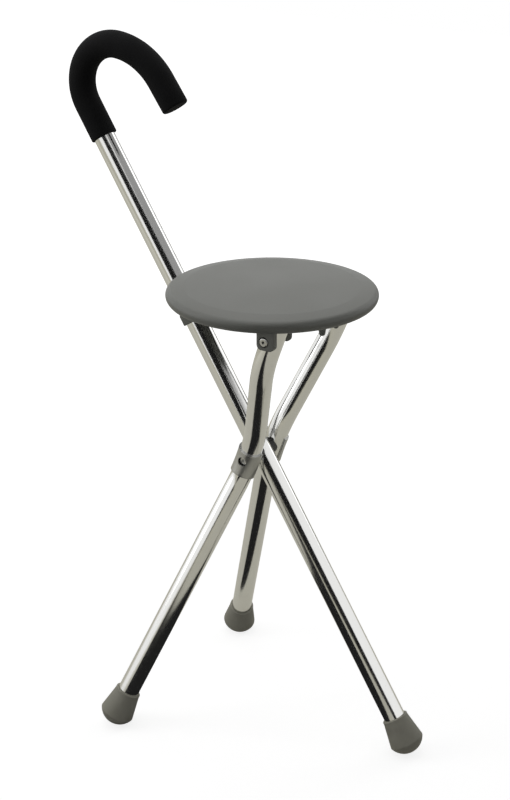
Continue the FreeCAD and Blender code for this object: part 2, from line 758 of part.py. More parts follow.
def make_cane_sleeve():
    """The sleeve through the cane that takes the hub bolt's load."""
    body = sleeve(
        "CaneSleeve", CANE_FRAME, "-{hub_face}", "{hub_face}", "{hub_bush_od} / 2",
        "{hub_bolt_d} / 2 + {running_gap}",
    )
    return keep(body, "cane_hub_sleeve")


# Seat: one moulding with a rolled rim, ribs, four ears, a fork and a clip

def add_seat_plate(body):
    """The round plate with its sloping shoulder and rolled rim."""
    corners = [
        ("0", "{seat_top}"),
        ("{seat_flat_radius}", "{seat_top}"),
        ("{shoulder_x}", "{shoulder_z}"),
        ("{bead_x}", "{rim_drop}"),
        ("{rim_inner}", "{rim_drop}"),
        ("{rim_inner}", "{seat_under}"),
        ("0", "{seat_under}"),
    ]
    arcs = {1: ("{seat_shoulder}", -1), 2: ("{bead_radius}", -1)}
    spin(body, outline(body, "XZ_Plane", corners, arcs))


def add_seat_ribs(body):
    """Spokes between a middle ring and the rim, under the plate."""
    height = "{seat_under} - {rim_drop} - {rib_lift}"
    floor = "{rim_drop} + {rib_lift}"
    ring = [("0", "0", "{rib_ring_radius}"), ("0", "0", "{rib_ring_radius} - {rib_wall}")]
    pad(body, rounds(body, "XY_Plane", ring, floor), height)
    start = "{rib_ring_radius} - {rib_wall} / 2"
    spoke = outline(body, "XY_Plane", [
        (start, "-{rib_wall} / 2"),
        ("{bead_x} - {bead_lip} / 2", "-{rib_wall} / 2"),
        ("{bead_x} - {bead_lip} / 2", "{rib_wall} / 2"),
        (start, "{rib_wall} / 2"),
    ], offset=floor)
    first = pad(body, spoke, height)
    ribs = body.newObject("PartDesign::PolarPattern", "Ribs")
    ribs.Originals = [first]
    ribs.Axis = (spoke, ["N_Axis"])
    ribs.Angle = 360
    ribs.setExpression("Occurrences", formula("{rib_count}"))
    body.Tip = ribs
    doc.recompute()


def ear_corners(below):
    """Corners of an ear from its root under the plate to its reach below the pins."""
    back = "-{pin_back} + {ear_back}"
    front = "-{pin_back} - {ear_front}"
    return [
        (back, "{ear_root}"),
        (front, "{ear_root}"),
        (front, "{ear_corner} - " + below),
        (front + " + {ear_corner}", "-" + below),
        (back + " - {ear_corner}", "-" + below),
        (back, "{ear_corner} - " + below),
    ]


def add_seat_ears(body):
    """Two ears each side, round the leg tops, with pin holes and head recesses."""
    arcs = {2: ("{ear_corner}", 1), 4: ("{ear_corner}", 1)}
    walls = (
        ("{ear_outer_x}", "{ear_outer_wall}", "{ear_outer_below}"),
        ("{ear_inner_x} - {ear_inner_wall}", "{ear_inner_wall}", "{ear_inner_below}"),
    )
    for side in (1, -1):
        for place, wall, below in walls:
            offset = place if side > 0 else "-(" + place + ")"
            plate = outline(body, "YZ_Plane", ear_corners(below), arcs, offset=offset, name="Ear")
            pad(body, plate, wall, backwards=side < 0)
    hole = rounds(body, "YZ_Plane", [("-{pin_back}", "0", "{seat_screw_d} / 2 + {running_gap}")])
    pocket(body, hole, "4 * {seat_radius}")
    for side in (1, -1):
        face = "{ear_outer_x} + {ear_outer_wall}"
        offset = face if side > 0 else "-(" + face + ")"
        circle = [("-{pin_back}", "0", "{seat_recess_d} / 2")]
        recess = rounds(body, "YZ_Plane", circle, offset, name="Recess")
        pocket(body, recess, "{seat_head_sink}", "One side", backwards=side < 0)


def on_cane(along, ahead):
    """A place in the seat's frame, from one along the cane from the hub and ahead of it."""
    y = "(%s) * sin({cane_angle}) - (%s) * cos({cane_angle}) - {seat_y}" % (along, ahead)
    z = "(%s) * cos({cane_angle}) + (%s) * sin({cane_angle}) - {pin_z}" % (along, ahead)
    return (y, z)


def add_seat_fork(body):
    """Two prongs below the rim, one each side of the cane and parallel to it."""
    root = "{seat_under} + {seat_plate} / 2"
    corners = [
        ("{bead_x} - {fork_root}", root),
        on_cane("{bead_run} - {fork_reach}", "{fork_before}"),
        on_cane("{bead_run} - {fork_reach}", "-{fork_behind}"),
        on_cane("{bead_run} - {fork_sink}", "-{fork_behind}"),
        ("{bead_x}", "{rim_drop}"),
        ("{bead_x}", root),
    ]
    for side in (1, -1):
        offset = "{fork_x}" if side > 0 else "-{fork_x}"
        prong = outline(body, "YZ_Plane", corners, offset=offset, name="Prong")
        pad(body, prong, "{fork_wall}", backwards=side < 0)


def add_seat_clip(body):
    """Two round-ended arms in front of the pins, one each side of the folded cane."""
    root = "{seat_under} + {seat_plate} / 2"
    turn = "{clip_length} / 2"
    corners = [
        ("{clip_y} + {clip_root} / 2", root),
        ("{clip_y} - {clip_root} / 2", root),
        ("{clip_y} - " + turn, turn + " - {clip_below}"),
        ("{clip_y}", "-{clip_below}"),
        ("{clip_y} + " + turn, turn + " - {clip_below}"),
    ]
    arcs = {2: (turn, 1), 3: (turn, 1)}
    for side in (1, -1):
        offset = "{clip_x}" if side > 0 else "-{clip_x}"
        arm = outline(body, "YZ_Plane", corners, arcs, offset=offset, name="Arm")
        pad(body, arm, "{clip_wall}", backwards=side < 0)


def make_seat():
    """The moulded seat."""
    body = new_body("Seat", SEAT_FRAME)
    add_seat_plate(body)
    add_seat_ribs(body)
    add_seat_ears(body)
    add_seat_fork(body)
    add_seat_clip(body)
    return keep(body, "seat_shell")


def make_seat_pins():
    """The screws through the ears and leg tops, and their nuts."""
    pin_frame = frame_at(SEAT_FRAME, "0; -{pin_back}; 0")
    screw = new_body("SeatScrew", pin_frame)
    seat_x = "{ear_outer_x} + {ear_outer_wall} - {seat_head_sink}"
    nut_x = "{ear_inner_x} - {ear_inner_wall}"
    tip = nut_x + " - {seat_nut_height} - {bolt_end}"
    corners = [
        (tip, "0"),
        (tip, "{seat_screw_d} / 2"),
        (seat_x, "{seat_screw_d} / 2"),
        (seat_x, "{seat_head_d} / 2"),
        (seat_x + " + {seat_head_height}", "{seat_head_d} / 2"),
        (seat_x + " + {seat_head_height}", "0"),
    ]
    spin(screw, outline(screw, "XZ_Plane", corners), "H_Axis")
    face = seat_x + " + {seat_head_height}"
    round_edges(screw, "{head_round}", lambda e: is_ring(e, "{seat_head_d} / 2", face, "x"))
    pocket(screw, hexagon(screw, "{seat_socket}", face), "{socket_depth}", "One side")
    pair(screw, "seat_pin_screws")
    nut = new_body("SeatNut", pin_frame)
    pad(nut, hexagon(nut, "{seat_nut_flats}", nut_x), "{seat_nut_height}", backwards=True)
    bore = rounds(nut, "YZ_Plane", [("0", "0", "{seat_screw_d} / 2 + {running_gap}")])
    pocket(nut, bore, "4 * {leg_top_offset}")
    pair(nut, "seat_pin_nuts")


floor_block = make_floor_block()
make_cane_tube()
make_handle_grip()
make_handle_plug()
cane_foot_frame = frame_at(CANE_FRAME, "0; 0; -{cane_foot}")
cane_foot, cane_disc = make_foot("CaneFoot", cane_foot_frame)
keep(cane_foot, "cane_foot")
keep(cane_disc, "cane_foot_disc")
make_cane_sleeve()
make_cane_spacers()
make_hub_bolt()
make_hub_nut()
make_leg_tube()
make_hub_saddle()
make_leg_spacer()
make_leg_fittings()
make_seat()
make_seat_pins()
doc.recompute()

# Nothing is written unless every object of the document is sound
for item in doc.Objects:
    if "Invalid" in item.State or "Error" in item.State:
        raise ValueError("%s failed: %s" % (item.Label, item.State))
for piece in nodes:
    if piece.Shape.isNull() or not piece.Shape.isValid():
        raise ValueError("%s has no sound shape" % piece.Label)

os.makedirs("parts", exist_ok=True)
for piece in nodes:
    piece.Shape.exportStep(os.path.join("parts", piece.Label + ".step"))
    print(piece.Label, len(piece.Shape.Solids), round(piece.Shape.Volume, 1))
for name in ("hub_y", "hub_height", "pin_y", "pin_z", "seat_y", "seat_top", "hub_x", "pin_back"):
    print(name, round(number("{%s}" % name), 4))
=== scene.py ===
"""Looks of a walking stick seat: a crook-handled cane that opens into a three-legged stool.

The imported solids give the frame. Each sub-assembly below models its visible pieces in its own
frame, in metres, sets them in their place and dresses them. Hidden pieces keep their solids
and only get a finish. +Z is up, +X runs along the hinge axes and the cane leans in X = 0.
"""

import logging
import math
from dataclasses import dataclass
from enum import Enum
from typing import Callable, Iterable, Sequence

import bpy
from mathutils import Matrix, Vector


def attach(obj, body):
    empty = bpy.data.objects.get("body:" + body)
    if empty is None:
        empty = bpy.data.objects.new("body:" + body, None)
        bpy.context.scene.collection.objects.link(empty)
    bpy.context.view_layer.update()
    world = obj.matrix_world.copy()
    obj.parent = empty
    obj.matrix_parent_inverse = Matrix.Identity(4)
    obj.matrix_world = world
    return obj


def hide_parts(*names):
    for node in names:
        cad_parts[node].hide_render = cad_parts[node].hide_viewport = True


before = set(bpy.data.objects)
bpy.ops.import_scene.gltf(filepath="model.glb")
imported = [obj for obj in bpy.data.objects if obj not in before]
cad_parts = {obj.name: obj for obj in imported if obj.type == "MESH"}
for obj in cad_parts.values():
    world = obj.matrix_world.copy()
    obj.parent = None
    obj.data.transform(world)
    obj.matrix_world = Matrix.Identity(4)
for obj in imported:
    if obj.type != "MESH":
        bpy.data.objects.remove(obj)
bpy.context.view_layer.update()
LOG = logging.getLogger("walking_stick_seat")

Ring = tuple[float, float]
Point = tuple[float, float, float]
Colour = tuple[float, float, float]
Piece = bpy.types.Object
Socket = bpy.types.NodeSocket
Inputs = dict[str | int, object]

TOUCH = 1e-5  # Places closer than this are the same
PRESS_GAP = 0.00005  # Between a piece and the tube that it is pressed on
EDGE_BREAK = 0.0006  # Usual rounding of an edge
PAST = 0.01  # How far a cutting tool reaches past a piece


class Side(Enum):
    """A side leg, as seen by someone who sits facing the handle."""

    LEFT = "left"
    RIGHT = "right"


@dataclass(frozen=True)
class Stance:
    """Where the hub stands, how the tubes lean from upright, and the tube they are made of."""

    hub: Point = (0.0, -0.0165902, 0.2953)
    cane_lean: float = math.radians(32.1)
    leg_lean: float = math.radians(20.3)
    tube_radius: float = 0.011
    tube_wall: float = 0.0015

    @property
    def cane(self) -> Matrix:
        """The cane's frame: origin at the hub, Z up the shaft."""
        return Matrix.Translation(self.hub) @ Matrix.Rotation(-self.cane_lean, 4, "X")

    @property
    def leg(self) -> Matrix:
        """The legs' frame: origin at the hub, Z up towards the seat."""
        return Matrix.Translation(self.hub) @ Matrix.Rotation(self.leg_lean, 4, "X")


STANCE = Stance()


# Bench work: small helpers round Blender's operators


def start_clean() -> None:
    """Leave edit mode and deselect everything."""
    if bpy.context.object and bpy.context.object.mode != "OBJECT":
        bpy.ops.object.mode_set(mode="OBJECT")
    for obj in list(bpy.context.selected_objects):
        obj.select_set(False)


def take(obj: Piece) -> None:
    """Make an object the only selected one, and the active one."""
    start_clean()
    obj.select_set(True)
    bpy.context.view_layer.objects.active = obj


def apply(obj: Piece, kind: str, **settings: object) -> None:
    """Add a modifier and apply it.

    Args:
        obj: The piece to change.
        kind: Blender's name for the modifier.
        settings: Values of the modifier's own fields.
    """
    take(obj)
    modifier = obj.modifiers.new(kind.title(), kind)
    for name, value in settings.items():
        setattr(modifier, name, value)
    bpy.ops.object.modifier_apply(modifier=modifier.name)


def close_shell(obj: Piece, fill: bool = True) -> None:
    """Weld a shell, fill its open ends and turn its faces outwards.

    Args:
        obj: The shell.
        fill: Whether open ends are filled.
    """
    take(obj)
    bpy.ops.object.mode_set(mode="EDIT")
    bpy.ops.mesh.select_all(action="SELECT")
    bpy.ops.mesh.remove_doubles(threshold=1e-7)
    if fill:
        bpy.ops.mesh.fill_holes(sides=0)
    bpy.ops.mesh.select_all(action="SELECT")
    bpy.ops.mesh.normals_make_consistent(inside=False)
    bpy.ops.object.mode_set(mode="OBJECT")


def round_edges(obj: Piece, wanted: Callable[[Vector, Vector], bool], radius: float, steps: int) -> None:
    """Round the edges of a piece whose two ends pass a test.

    Args:
        obj: The piece.
        wanted: Says by an edge's two ends whether it is rounded.
        radius: The rounding's size.
        steps: Number of facets across it.
    """
    take(obj)
    mesh = obj.data
    for parts in (mesh.vertices, mesh.edges, mesh.polygons):
        parts.foreach_set("select", [False] * len(parts))
    for edge in mesh.edges:
        start, end = (mesh.vertices[i].co for i in edge.vertices)
        edge.select = wanted(start, end)
    bpy.context.tool_settings.mesh_select_mode = (False, True, False)
    bpy.ops.object.mode_set(mode="EDIT")
    bpy.ops.mesh.bevel(offset=radius, segments=steps, affect="EDGES")
    bpy.ops.object.mode_set(mode="OBJECT")
    bpy.context.tool_settings.mesh_select_mode = (True, False, False)


def break_edges(obj: Piece, width: float = EDGE_BREAK, sharpest: float = 50.0) -> None:
    """Round every edge a little that is sharper than an angle in degrees."""
    limit = math.radians(sharpest)
    apply(obj, "BEVEL", width=width, segments=3, limit_method="ANGLE", angle_limit=limit)


def turned(name: str, rings: Sequence[Ring], sides: int = 96) -> Piece:
    """Turn a solid round Z, ring by ring, with both ends closed.

    Args:
        name: Name of the piece.
        rings: Radius and height of each ring, in order along the outline.
        sides: Number of sides all round.

    Returns:
        The new piece, round the world's Z axis.
    """
    start_clean()
    radius, height = rings[0]
    bpy.ops.mesh.primitive_circle_add(
        vertices=sides, radius=radius, fill_type="NOTHING", location=(0, 0, height)
    )
    obj = bpy.context.object
    obj.name = obj.data.name = name
    bpy.ops.object.transform_apply(location=True, rotation=True, scale=True)
    bpy.ops.object.mode_set(mode="EDIT")
    bpy.ops.mesh.select_all(action="SELECT")
    for next_radius, next_height in rings[1:]:
        step = (0.0, 0.0, next_height - height)
        bpy.ops.mesh.extrude_region_move(TRANSFORM_OT_translate={"value": step})
        grow = next_radius / radius
        bpy.ops.transform.resize(value=(grow, grow, 1.0), center_override=(0, 0, next_height))
        radius, height = next_radius, next_height
    close_shell(obj)
    return obj


def arc(centre: Ring, radius: float, start: float, end: float, steps: int) -> list[Ring]:
    """Points of an arc in an outline, by angles in degrees, 0 outwards and 90 up."""
    angles = [math.radians(start + (end - start) * i / steps) for i in range(steps + 1)]
    return [(centre[0] + radius * math.cos(a), centre[1] + radius * math.sin(a)) for a in angles]


class TubeBender:
    """Draws a round bar along straight runs and bends, as a bending machine does."""

    def __init__(self, name: str, start: Point, heading: Point, radius: float, sides: int = 80) -> None:
        """Set the first ring.

        Args:
            name: Name of the piece.
            start: Centre of the first ring.
            heading: Direction of the first run.
            radius: Radius of the bar.
            sides: Number of sides all round.
        """
        start_clean()
        self.place = Vector(start)
        self.heading = Vector(heading).normalized()
        turn = self.heading.to_track_quat("Z", "Y").to_euler()
        bpy.ops.mesh.primitive_circle_add(
            vertices=sides, radius=radius, fill_type="NOTHING", location=start, rotation=turn
        )
        self.obj = bpy.context.object
        self.obj.name = self.obj.data.name = name
        bpy.ops.object.transform_apply(location=True, rotation=True, scale=True)
        bpy.ops.object.mode_set(mode="EDIT")
        bpy.ops.mesh.select_all(action="SELECT")

    def run(self, length: float, parts: int = 1) -> None:
        """Go straight on.

        Args:
            length: How far.
            parts: Number of stretches that the run is cut into.
        """
        step = self.heading * (length / parts)
        for _ in range(parts):
            bpy.ops.mesh.extrude_region_move(TRANSFORM_OT_translate={"value": step[:]})
        self.place += self.heading * length

    def bend(self, centre: Point, axis: Point, angle: float, steps: int) -> None:
        """Turn about an axis by the right-hand rule.

        Args:
            centre: A point on the axis.
            axis: Direction of the axis.
            angle: Angle in radians.
            steps: Number of facets along the bend.
        """
        bpy.ops.mesh.spin(steps=steps, angle=-angle, center=centre, axis=axis)
        turn = Matrix.Rotation(angle, 3, Vector(axis))
        self.place = Vector(centre) + turn @ (self.place - Vector(centre))
        self.heading = turn @ self.heading

    def finish(self, wall: float = 0.0, closed_end: bool = False) -> Piece:
        """Weld the rings, and give an open tube its wall.

        Args:
            wall: Thickness of the wall, inwards, or 0 for a solid bar.
            closed_end: Whether the last ring is closed before the wall is made.

        Returns:
            The finished piece.
        """
        if closed_end:
            bpy.ops.mesh.edge_face_add()
        bpy.ops.object.mode_set(mode="OBJECT")
        close_shell(self.obj, fill=wall == 0.0)
        if wall:
            apply(self.obj, "SOLIDIFY", thickness=wall, offset=-1.0, use_even_offset=True)
        return self.obj


def plug_tool(start: Point, end: Point, radius: float, sides: int = 64) -> Piece:
    """A cylinder between two points, to cut or add with.

    Args:
        start: Centre of one end.
        end: Centre of the other end.
        radius: Radius.
        sides: Number of sides, 6 for a hexagon.

    Returns:
        The cylinder.
    """
    start_clean()
    line = Vector(end) - Vector(start)
    bpy.ops.mesh.primitive_cylinder_add(
        vertices=sides,
        radius=radius,
        depth=line.length,
        location=(Vector(start) + Vector(end)) / 2,
        rotation=line.to_track_quat("Z", "Y").to_euler(),
    )
    obj = bpy.context.object
    bpy.ops.object.transform_apply(location=True, rotation=True, scale=True)
    return obj


def combine(obj: Piece, tool: Piece, operation: str = "DIFFERENCE") -> None:
    """Cut a tool out of a piece, or join it on, and throw the tool away."""
    apply(obj, "BOOLEAN", object=tool, operation=operation, solver="EXACT")
    bpy.data.objects.remove(tool)


def slab(name: str, low: Point, high: Point, cuts: Iterable[tuple[Point, Point]] = ()) -> Piece:
    """A block between two corners, sawn off along planes.

    Args:
        name: Name of the piece.
        low: Lowest corner.
        high: Highest corner.
        cuts: A point and an outward normal for each plane; what lies beyond it goes.

    Returns:
        The block.
    """
    start_clean()
    middle = [(a + b) / 2 for a, b in zip(low, high)]
    bpy.ops.mesh.primitive_cube_add(size=1.0, location=middle)
    obj = bpy.context.object
    obj.name = obj.data.name = name
    obj.scale = [b - a for a, b in zip(low, high)]
    bpy.ops.object.transform_apply(location=True, rotation=True, scale=True)
    for point, normal in cuts:
        saw(obj, point, normal)
    return obj


def round_foot(obj: Piece, radius: float) -> Piece:
    """Round the two lower corners of a hanging plate, then break all its edges.

    Args:
        obj: The plate, thin along X and hanging along -Z.
        radius: Radius of the corners.

    Returns:
        The same piece.
    """
    lowest = min(vertex.co.z for vertex in obj.data.vertices) + TOUCH

    def lies_low(start: Vector, end: Vector) -> bool:
        """Whether an edge runs along X at the plate's foot."""
        return max(start.z, end.z) < lowest and abs(start.x - end.x) > TOUCH

    round_edges(obj, lies_low, radius, 10)
    break_edges(obj)
    return obj


def saw(obj: Piece, point: Point, normal: Point) -> None:
    """Saw a solid along a plane, drop what lies beyond it and close the cut.

    Args:
        obj: The solid.
        point: A point on the plane.
        normal: The plane's normal, towards what goes.
    """
    take(obj)
    bpy.ops.object.mode_set(mode="EDIT")
    bpy.ops.mesh.select_all(action="SELECT")
    bpy.ops.mesh.bisect(plane_co=point, plane_no=normal, use_fill=True, clear_outer=True, threshold=1e-6)
    bpy.ops.object.mode_set(mode="OBJECT")


def settle(obj: Piece, place: Matrix) -> Piece:
    """Set a piece in its place, with the place in its mesh.

    Args:
        obj: The piece, modelled in its own frame.
        place: That frame in the part's frame.

    Returns:
        The same piece.
    """
    take(obj)
    obj.matrix_world = place @ obj.matrix_world
    bpy.ops.object.transform_apply(location=True, rotation=True, scale=True)
    return obj


def smooth(obj: Piece, angle: float = 32.0) -> None:
    """Shade a piece smooth, but for its edges sharper than an angle in degrees."""
    take(obj)
    bpy.ops.object.shade_smooth_by_angle(angle=math.radians(angle))


def twin(obj: Piece, name: str) -> Piece:
    """Copy a piece to the other side of the plane X = 0.

    Args:
        obj: A placed piece.
        name: Name of the copy.

    Returns:
        The mirrored copy, with a mesh of its own.
    """
    take(obj)
    bpy.ops.object.duplicate(linked=False)
    copy = bpy.context.object
    copy.name = copy.data.name = name
    copy.scale.x = -1.0
    bpy.ops.object.transform_apply(location=True, rotation=True, scale=True)
    close_shell(copy, fill=False)
    return copy


# Finishes


class Desk:
    """Adds and links the nodes of one tree."""

    def __init__(self, tree: bpy.types.NodeTree) -> None:
        """Start on a tree, which is emptied."""
        self.tree = tree
        tree.nodes.clear()

    def feed(self, target: Socket, value: object) -> None:
        """Link a socket to an input, or set the input's value.

        Args:
            target: The input.
            value: Socket or value.
        """
        if isinstance(value, Socket):
            self.tree.links.new(value, target)
        else:
            target.default_value = value

    def add(self, kind: str, inputs: Inputs | None = None, **fields: object) -> bpy.types.Node:
        """Add a node.

        Args:
            kind: Blender's name for the node, without ShaderNode.
            inputs: Values and linked sockets by input name or number.
            fields: The node's own fields.

        Returns:
            The node.
        """
        node = self.tree.nodes.new("ShaderNode" + kind)
        for name, value in fields.items():
            setattr(node, name, value)
        for name, value in (inputs or {}).items():
            self.feed(node.inputs[name], value)
        return node

    def mix(self, share: Socket, low: Colour, high: Colour) -> Socket:
        """Blend from the low colour at 0 to the high one at 1."""
        inputs = {0: share, 6: (*low, 1.0), 7: (*high, 1.0)}
        return self.add("Mix", inputs, data_type="RGBA").outputs[2]

    def span(self, value: Socket, low: float, high: float) -> Socket:
        """Spread a mask of 0 to 1 over a range of values."""
        return self.add("MapRange", {"Value": value, "To Min": low, "To Max": high}).outputs[0]

    def noise(self, place: Socket, scale: float | Socket, detail: float) -> Socket:
        """Noise of about 0 to 1 over a place."""
        return self.add("TexNoise", {"Vector": place, "Scale": scale, "Detail": detail}).outputs[0]

    def bump(self, height: Socket, strength: float, depth: float) -> Socket:
        """The normal of a skin that stands out by a height."""
        return self.add("Bump", {"Height": height, "Strength": strength, "Distance": depth}).outputs[0]

    def seen(self, rays: bpy.types.bpy_prop_collection) -> Socket:
        """A mask of the rays from the camera and from reflections."""
        wanted = {0: rays["Is Camera Ray"], 1: rays["Is Glossy Ray"]}
        return self.add("Math", wanted, operation="MAXIMUM").outputs[0]


def new_group(
    name: str, inputs: dict[str, float | str], outputs: Sequence[str]
) -> tuple[Desk, bpy.types.Node, bpy.types.Node]:
    """Start a node group with named sockets.

    Args:
        name: Name of the group.
        inputs: Default value of each input; the word vector makes a vector input.
        outputs: Names of the value outputs.

    Returns:
        A desk on the group's tree, the node of its inputs and the node of its outputs.
    """
    tree = bpy.data.node_groups.new(name, "ShaderNodeTree")
    for socket_name, value in inputs.items():
        kind = "NodeSocketVector" if value == "vector" else "NodeSocketFloat"
        socket = tree.interface.new_socket(socket_name, in_out="INPUT", socket_type=kind)
        if value != "vector":
            socket.default_value = value
    for socket_name in outputs:
        tree.interface.new_socket(socket_name, in_out="OUTPUT", socket_type="NodeSocketFloat")
    return Desk(tree), tree.nodes.new("NodeGroupInput"), tree.nodes.new("NodeGroupOutput")


def grain_group() -> bpy.types.ShaderNodeTree:
    """Fine skin of a moulding: a height for its grain and a mask for its cloudy tone.

    Returns:
        The group, with inputs Place, Grain Scale and Cloud Scale, and outputs Height and Cloud.
    """
    inputs = {"Place": "vector", "Grain Scale": 1500.0, "Cloud Scale": 20.0}
    desk, source, sink = new_group("Moulded grain", inputs, ["Height", "Cloud"])
    given = source.outputs
    grain = desk.noise(given["Place"], given["Grain Scale"], 2.0)
    cloud = desk.noise(given["Place"], given["Cloud Scale"], 4.0)
    spread = desk.add("MapRange", {"Value": cloud, "From Min": 0.35, "From Max": 0.65})
    desk.feed(sink.inputs["Height"], grain)
    desk.feed(sink.inputs["Cloud"], spread.outputs[0])
    return desk.tree


def drawn_group() -> bpy.types.ShaderNodeTree:
    """Lines that drawing and polishing leave along a tube, and the faint marks of use.

    Returns:
        The group, with inputs Place, Line Scale and Stretch, and outputs Lines and Marks.
    """
    inputs = {"Place": "vector", "Line Scale": 900.0, "Stretch": 0.01}
    desk, source, sink = new_group("Drawn metal", inputs, ["Lines", "Marks"])
    given = source.outputs
    squeeze = desk.add("CombineXYZ", {"X": 1.0, "Y": 1.0, "Z": given["Stretch"]})
    along = desk.add("VectorMath", {0: given["Place"], 1: squeeze.outputs[0]}, operation="MULTIPLY")
    lines = desk.noise(along.outputs[0], given["Line Scale"], 3.0)
    spots = desk.noise(given["Place"], 45.0, 5.0)
    marks = desk.add("MapRange", {"Value": spots, "From Min": 0.60, "From Max": 0.85})
    desk.feed(sink.inputs["Lines"], lines)
    desk.feed(sink.inputs["Marks"], marks.outputs[0])
    return desk.tree


GRAIN = grain_group()
DRAWN = drawn_group()


def new_material(name: str) -> tuple[Desk, bpy.types.Material]:
    """Start a material.

    Args:
        name: Name of the material.

    Returns:
        A desk on its tree, and the material.
    """
    material = bpy.data.materials.new(name)
    material.use_nodes = True
    return Desk(material.node_tree), material


@dataclass(frozen=True)
class Moulded:
    """A moulded or foamed piece: plastic, rubber or foam with a fine skin."""

    name: str
    slot: str
    colour: Colour
    cloud_colour: Colour
    roughness: tuple[float, float] = (0.45, 0.6)
    grain_scale: float = 1500.0
    cloud_scale: float = 20.0
    grain_depth: float = 0.0001
    bump: float = 0.25
    metallic: float = 0.0
    specular: float = 0.5

    def make(self) -> bpy.types.Material:
        """Build the material.

        Returns:
            The material.
        """
        desk, material = new_material(self.name)
        place = desk.add("TexCoord").outputs["Object"]
        inputs = {"Place": place, "Grain Scale": self.grain_scale, "Cloud Scale": self.cloud_scale}
        skin = desk.add("Group", inputs, node_tree=GRAIN).outputs
        shader = desk.add(
            "BsdfPrincipled",
            {
                "Base Color": desk.mix(skin["Cloud"], self.colour, self.cloud_colour),
                "Roughness": desk.span(skin["Cloud"], *self.roughness),
                "Normal": desk.bump(skin["Height"], self.bump, self.grain_depth),
                "Metallic": self.metallic,
                "Specular IOR Level": self.specular,
            },
        )
        desk.add("OutputMaterial", {"Surface": shader.outputs[0]})
        return material


@dataclass(frozen=True)
class Metal:
    """A drawn, turned or plated metal piece whose lines run along one direction."""

    name: str
    slot: str
    colour: Colour
    mark_colour: Colour
    roughness: tuple[float, float] = (0.12, 0.16)
    lean: float = 0.0
    line_scale: float = 400.0
    stretch: float = 0.01
    line_depth: float = 0.00005
    mark_roughness: float = 0.03
    bump: float = 0.01

    def make(self) -> bpy.types.Material:
        """Build the material.

        Returns:
            The material.
        """
        desk, material = new_material(self.name)
        place = desk.add("TexCoord").outputs["Object"]
        turn = desk.add("Mapping", {"Vector": place, "Rotation": (self.lean, 0.0, 0.0)})
        inputs = {"Place": turn.outputs[0], "Line Scale": self.line_scale, "Stretch": self.stretch}
        skin = desk.add("Group", inputs, node_tree=DRAWN).outputs
        lines = desk.span(skin["Lines"], *self.roughness)
        worn = {0: skin["Marks"], 1: self.mark_roughness, 2: lines}
        shader = desk.add(
            "BsdfPrincipled",
            {
                "Base Color": desk.mix(skin["Marks"], self.colour, self.mark_colour),
                "Roughness": desk.add("Math", worn, operation="MULTIPLY_ADD").outputs[0],
                "Normal": desk.bump(skin["Lines"], self.bump, self.line_depth),
                "Metallic": 1.0,
            },
        )
        desk.add("OutputMaterial", {"Surface": shader.outputs[0]})
        return material


Finish = Moulded | Metal

POLISH = (0.80, 0.80, 0.785)
WORN_POLISH = (0.75, 0.75, 0.735)
CANE_METAL = Metal("Polished cane tube", "polished_tube", POLISH, WORN_POLISH, lean=STANCE.cane_lean)
LEG_METAL = Metal("Polished leg tube", "polished_tube", POLISH, WORN_POLISH, lean=-STANCE.leg_lean)
GRIP_FOAM = Moulded(
    "Grip foam", "grip_foam", (0.0060, 0.0060, 0.0064), (0.0080, 0.0080, 0.0084), (0.85, 0.95),
    grain_scale=1300.0, cloud_scale=35.0, grain_depth=0.0003, bump=0.5, specular=0.15,
)
SEAT_PLASTIC = Moulded(
    "Seat plastic", "seat_plastic", (0.184, 0.189, 0.171), (0.199, 0.203, 0.185), (0.42, 0.5),
    grain_scale=1700.0, cloud_scale=14.0, grain_depth=0.00012, bump=0.2,
)
FOOT_RUBBER = Moulded(
    "Foot rubber", "foot_rubber", (0.325, 0.315, 0.260), (0.375, 0.365, 0.305), (0.55, 0.72),
    grain_scale=900.0, cloud_scale=60.0, grain_depth=0.0002, bump=0.3,
)
SADDLE_PLASTIC = Moulded(
    "Saddle plastic", "saddle_plastic", (0.46, 0.46, 0.44), (0.50, 0.50, 0.48), (0.26, 0.34),
    grain_scale=1600.0, cloud_scale=40.0, grain_depth=0.00008, bump=0.12, metallic=0.85,
)
SPACER_PLASTIC = Moulded(
    "Spacer plastic", "spacer_plastic", (0.045, 0.045, 0.045), (0.06, 0.06, 0.06),
    (0.4, 0.55), grain_scale=1200.0,
)
PLUG_PLASTIC = Moulded(
    "Plug plastic", "plug_plastic", (0.028, 0.028, 0.028), (0.036, 0.036, 0.036),
    (0.4, 0.55), grain_scale=1200.0,
)
SCREW_STEEL = Metal(
    "Plated screw steel", "screw_steel", (0.50, 0.50, 0.49), (0.38, 0.37, 0.35),
    (0.16, 0.28), stretch=1.0, bump=0.08,
)
SLEEVE_STEEL = Metal(
    "Turned sleeve steel", "sleeve_steel", (0.52, 0.52, 0.52), (0.40, 0.39, 0.37),
    (0.25, 0.4), stretch=1.0, bump=0.1,
)
DISC_STEEL = Metal(
    "Pressed disc steel", "disc_steel", (0.50, 0.50, 0.50), (0.38, 0.37, 0.35),
    (0.3, 0.45), stretch=1.0, bump=0.1,
)


class Wardrobe:
    """Keeps one material for each finish and dresses pieces in them."""

    def __init__(self) -> None:
        """Start with no materials."""
        self.made: dict[str, bpy.types.Material] = {}

    def material(self, finish: Finish) -> bpy.types.Material:
        """The material of a finish, built when it is first asked for."""
        if finish.name not in self.made:
            self.made[finish.name] = finish.make()
        return self.made[finish.name]

    def dress(self, obj: Piece, finish: Finish) -> None:
        """Give a piece a finish all over."""
        obj.data.materials.clear()
        obj.data.materials.append(self.material(finish))

    def dress_node(self, node: str, finish: Finish) -> None:
        """Give a solid that stays a finish, in its own material slots."""
        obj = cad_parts[node]
        if not obj.material_slots:
            obj.data.materials.append(None)
        for slot in obj.material_slots:
            slot.material = self.material(finish)


WARDROBE = Wardrobe()


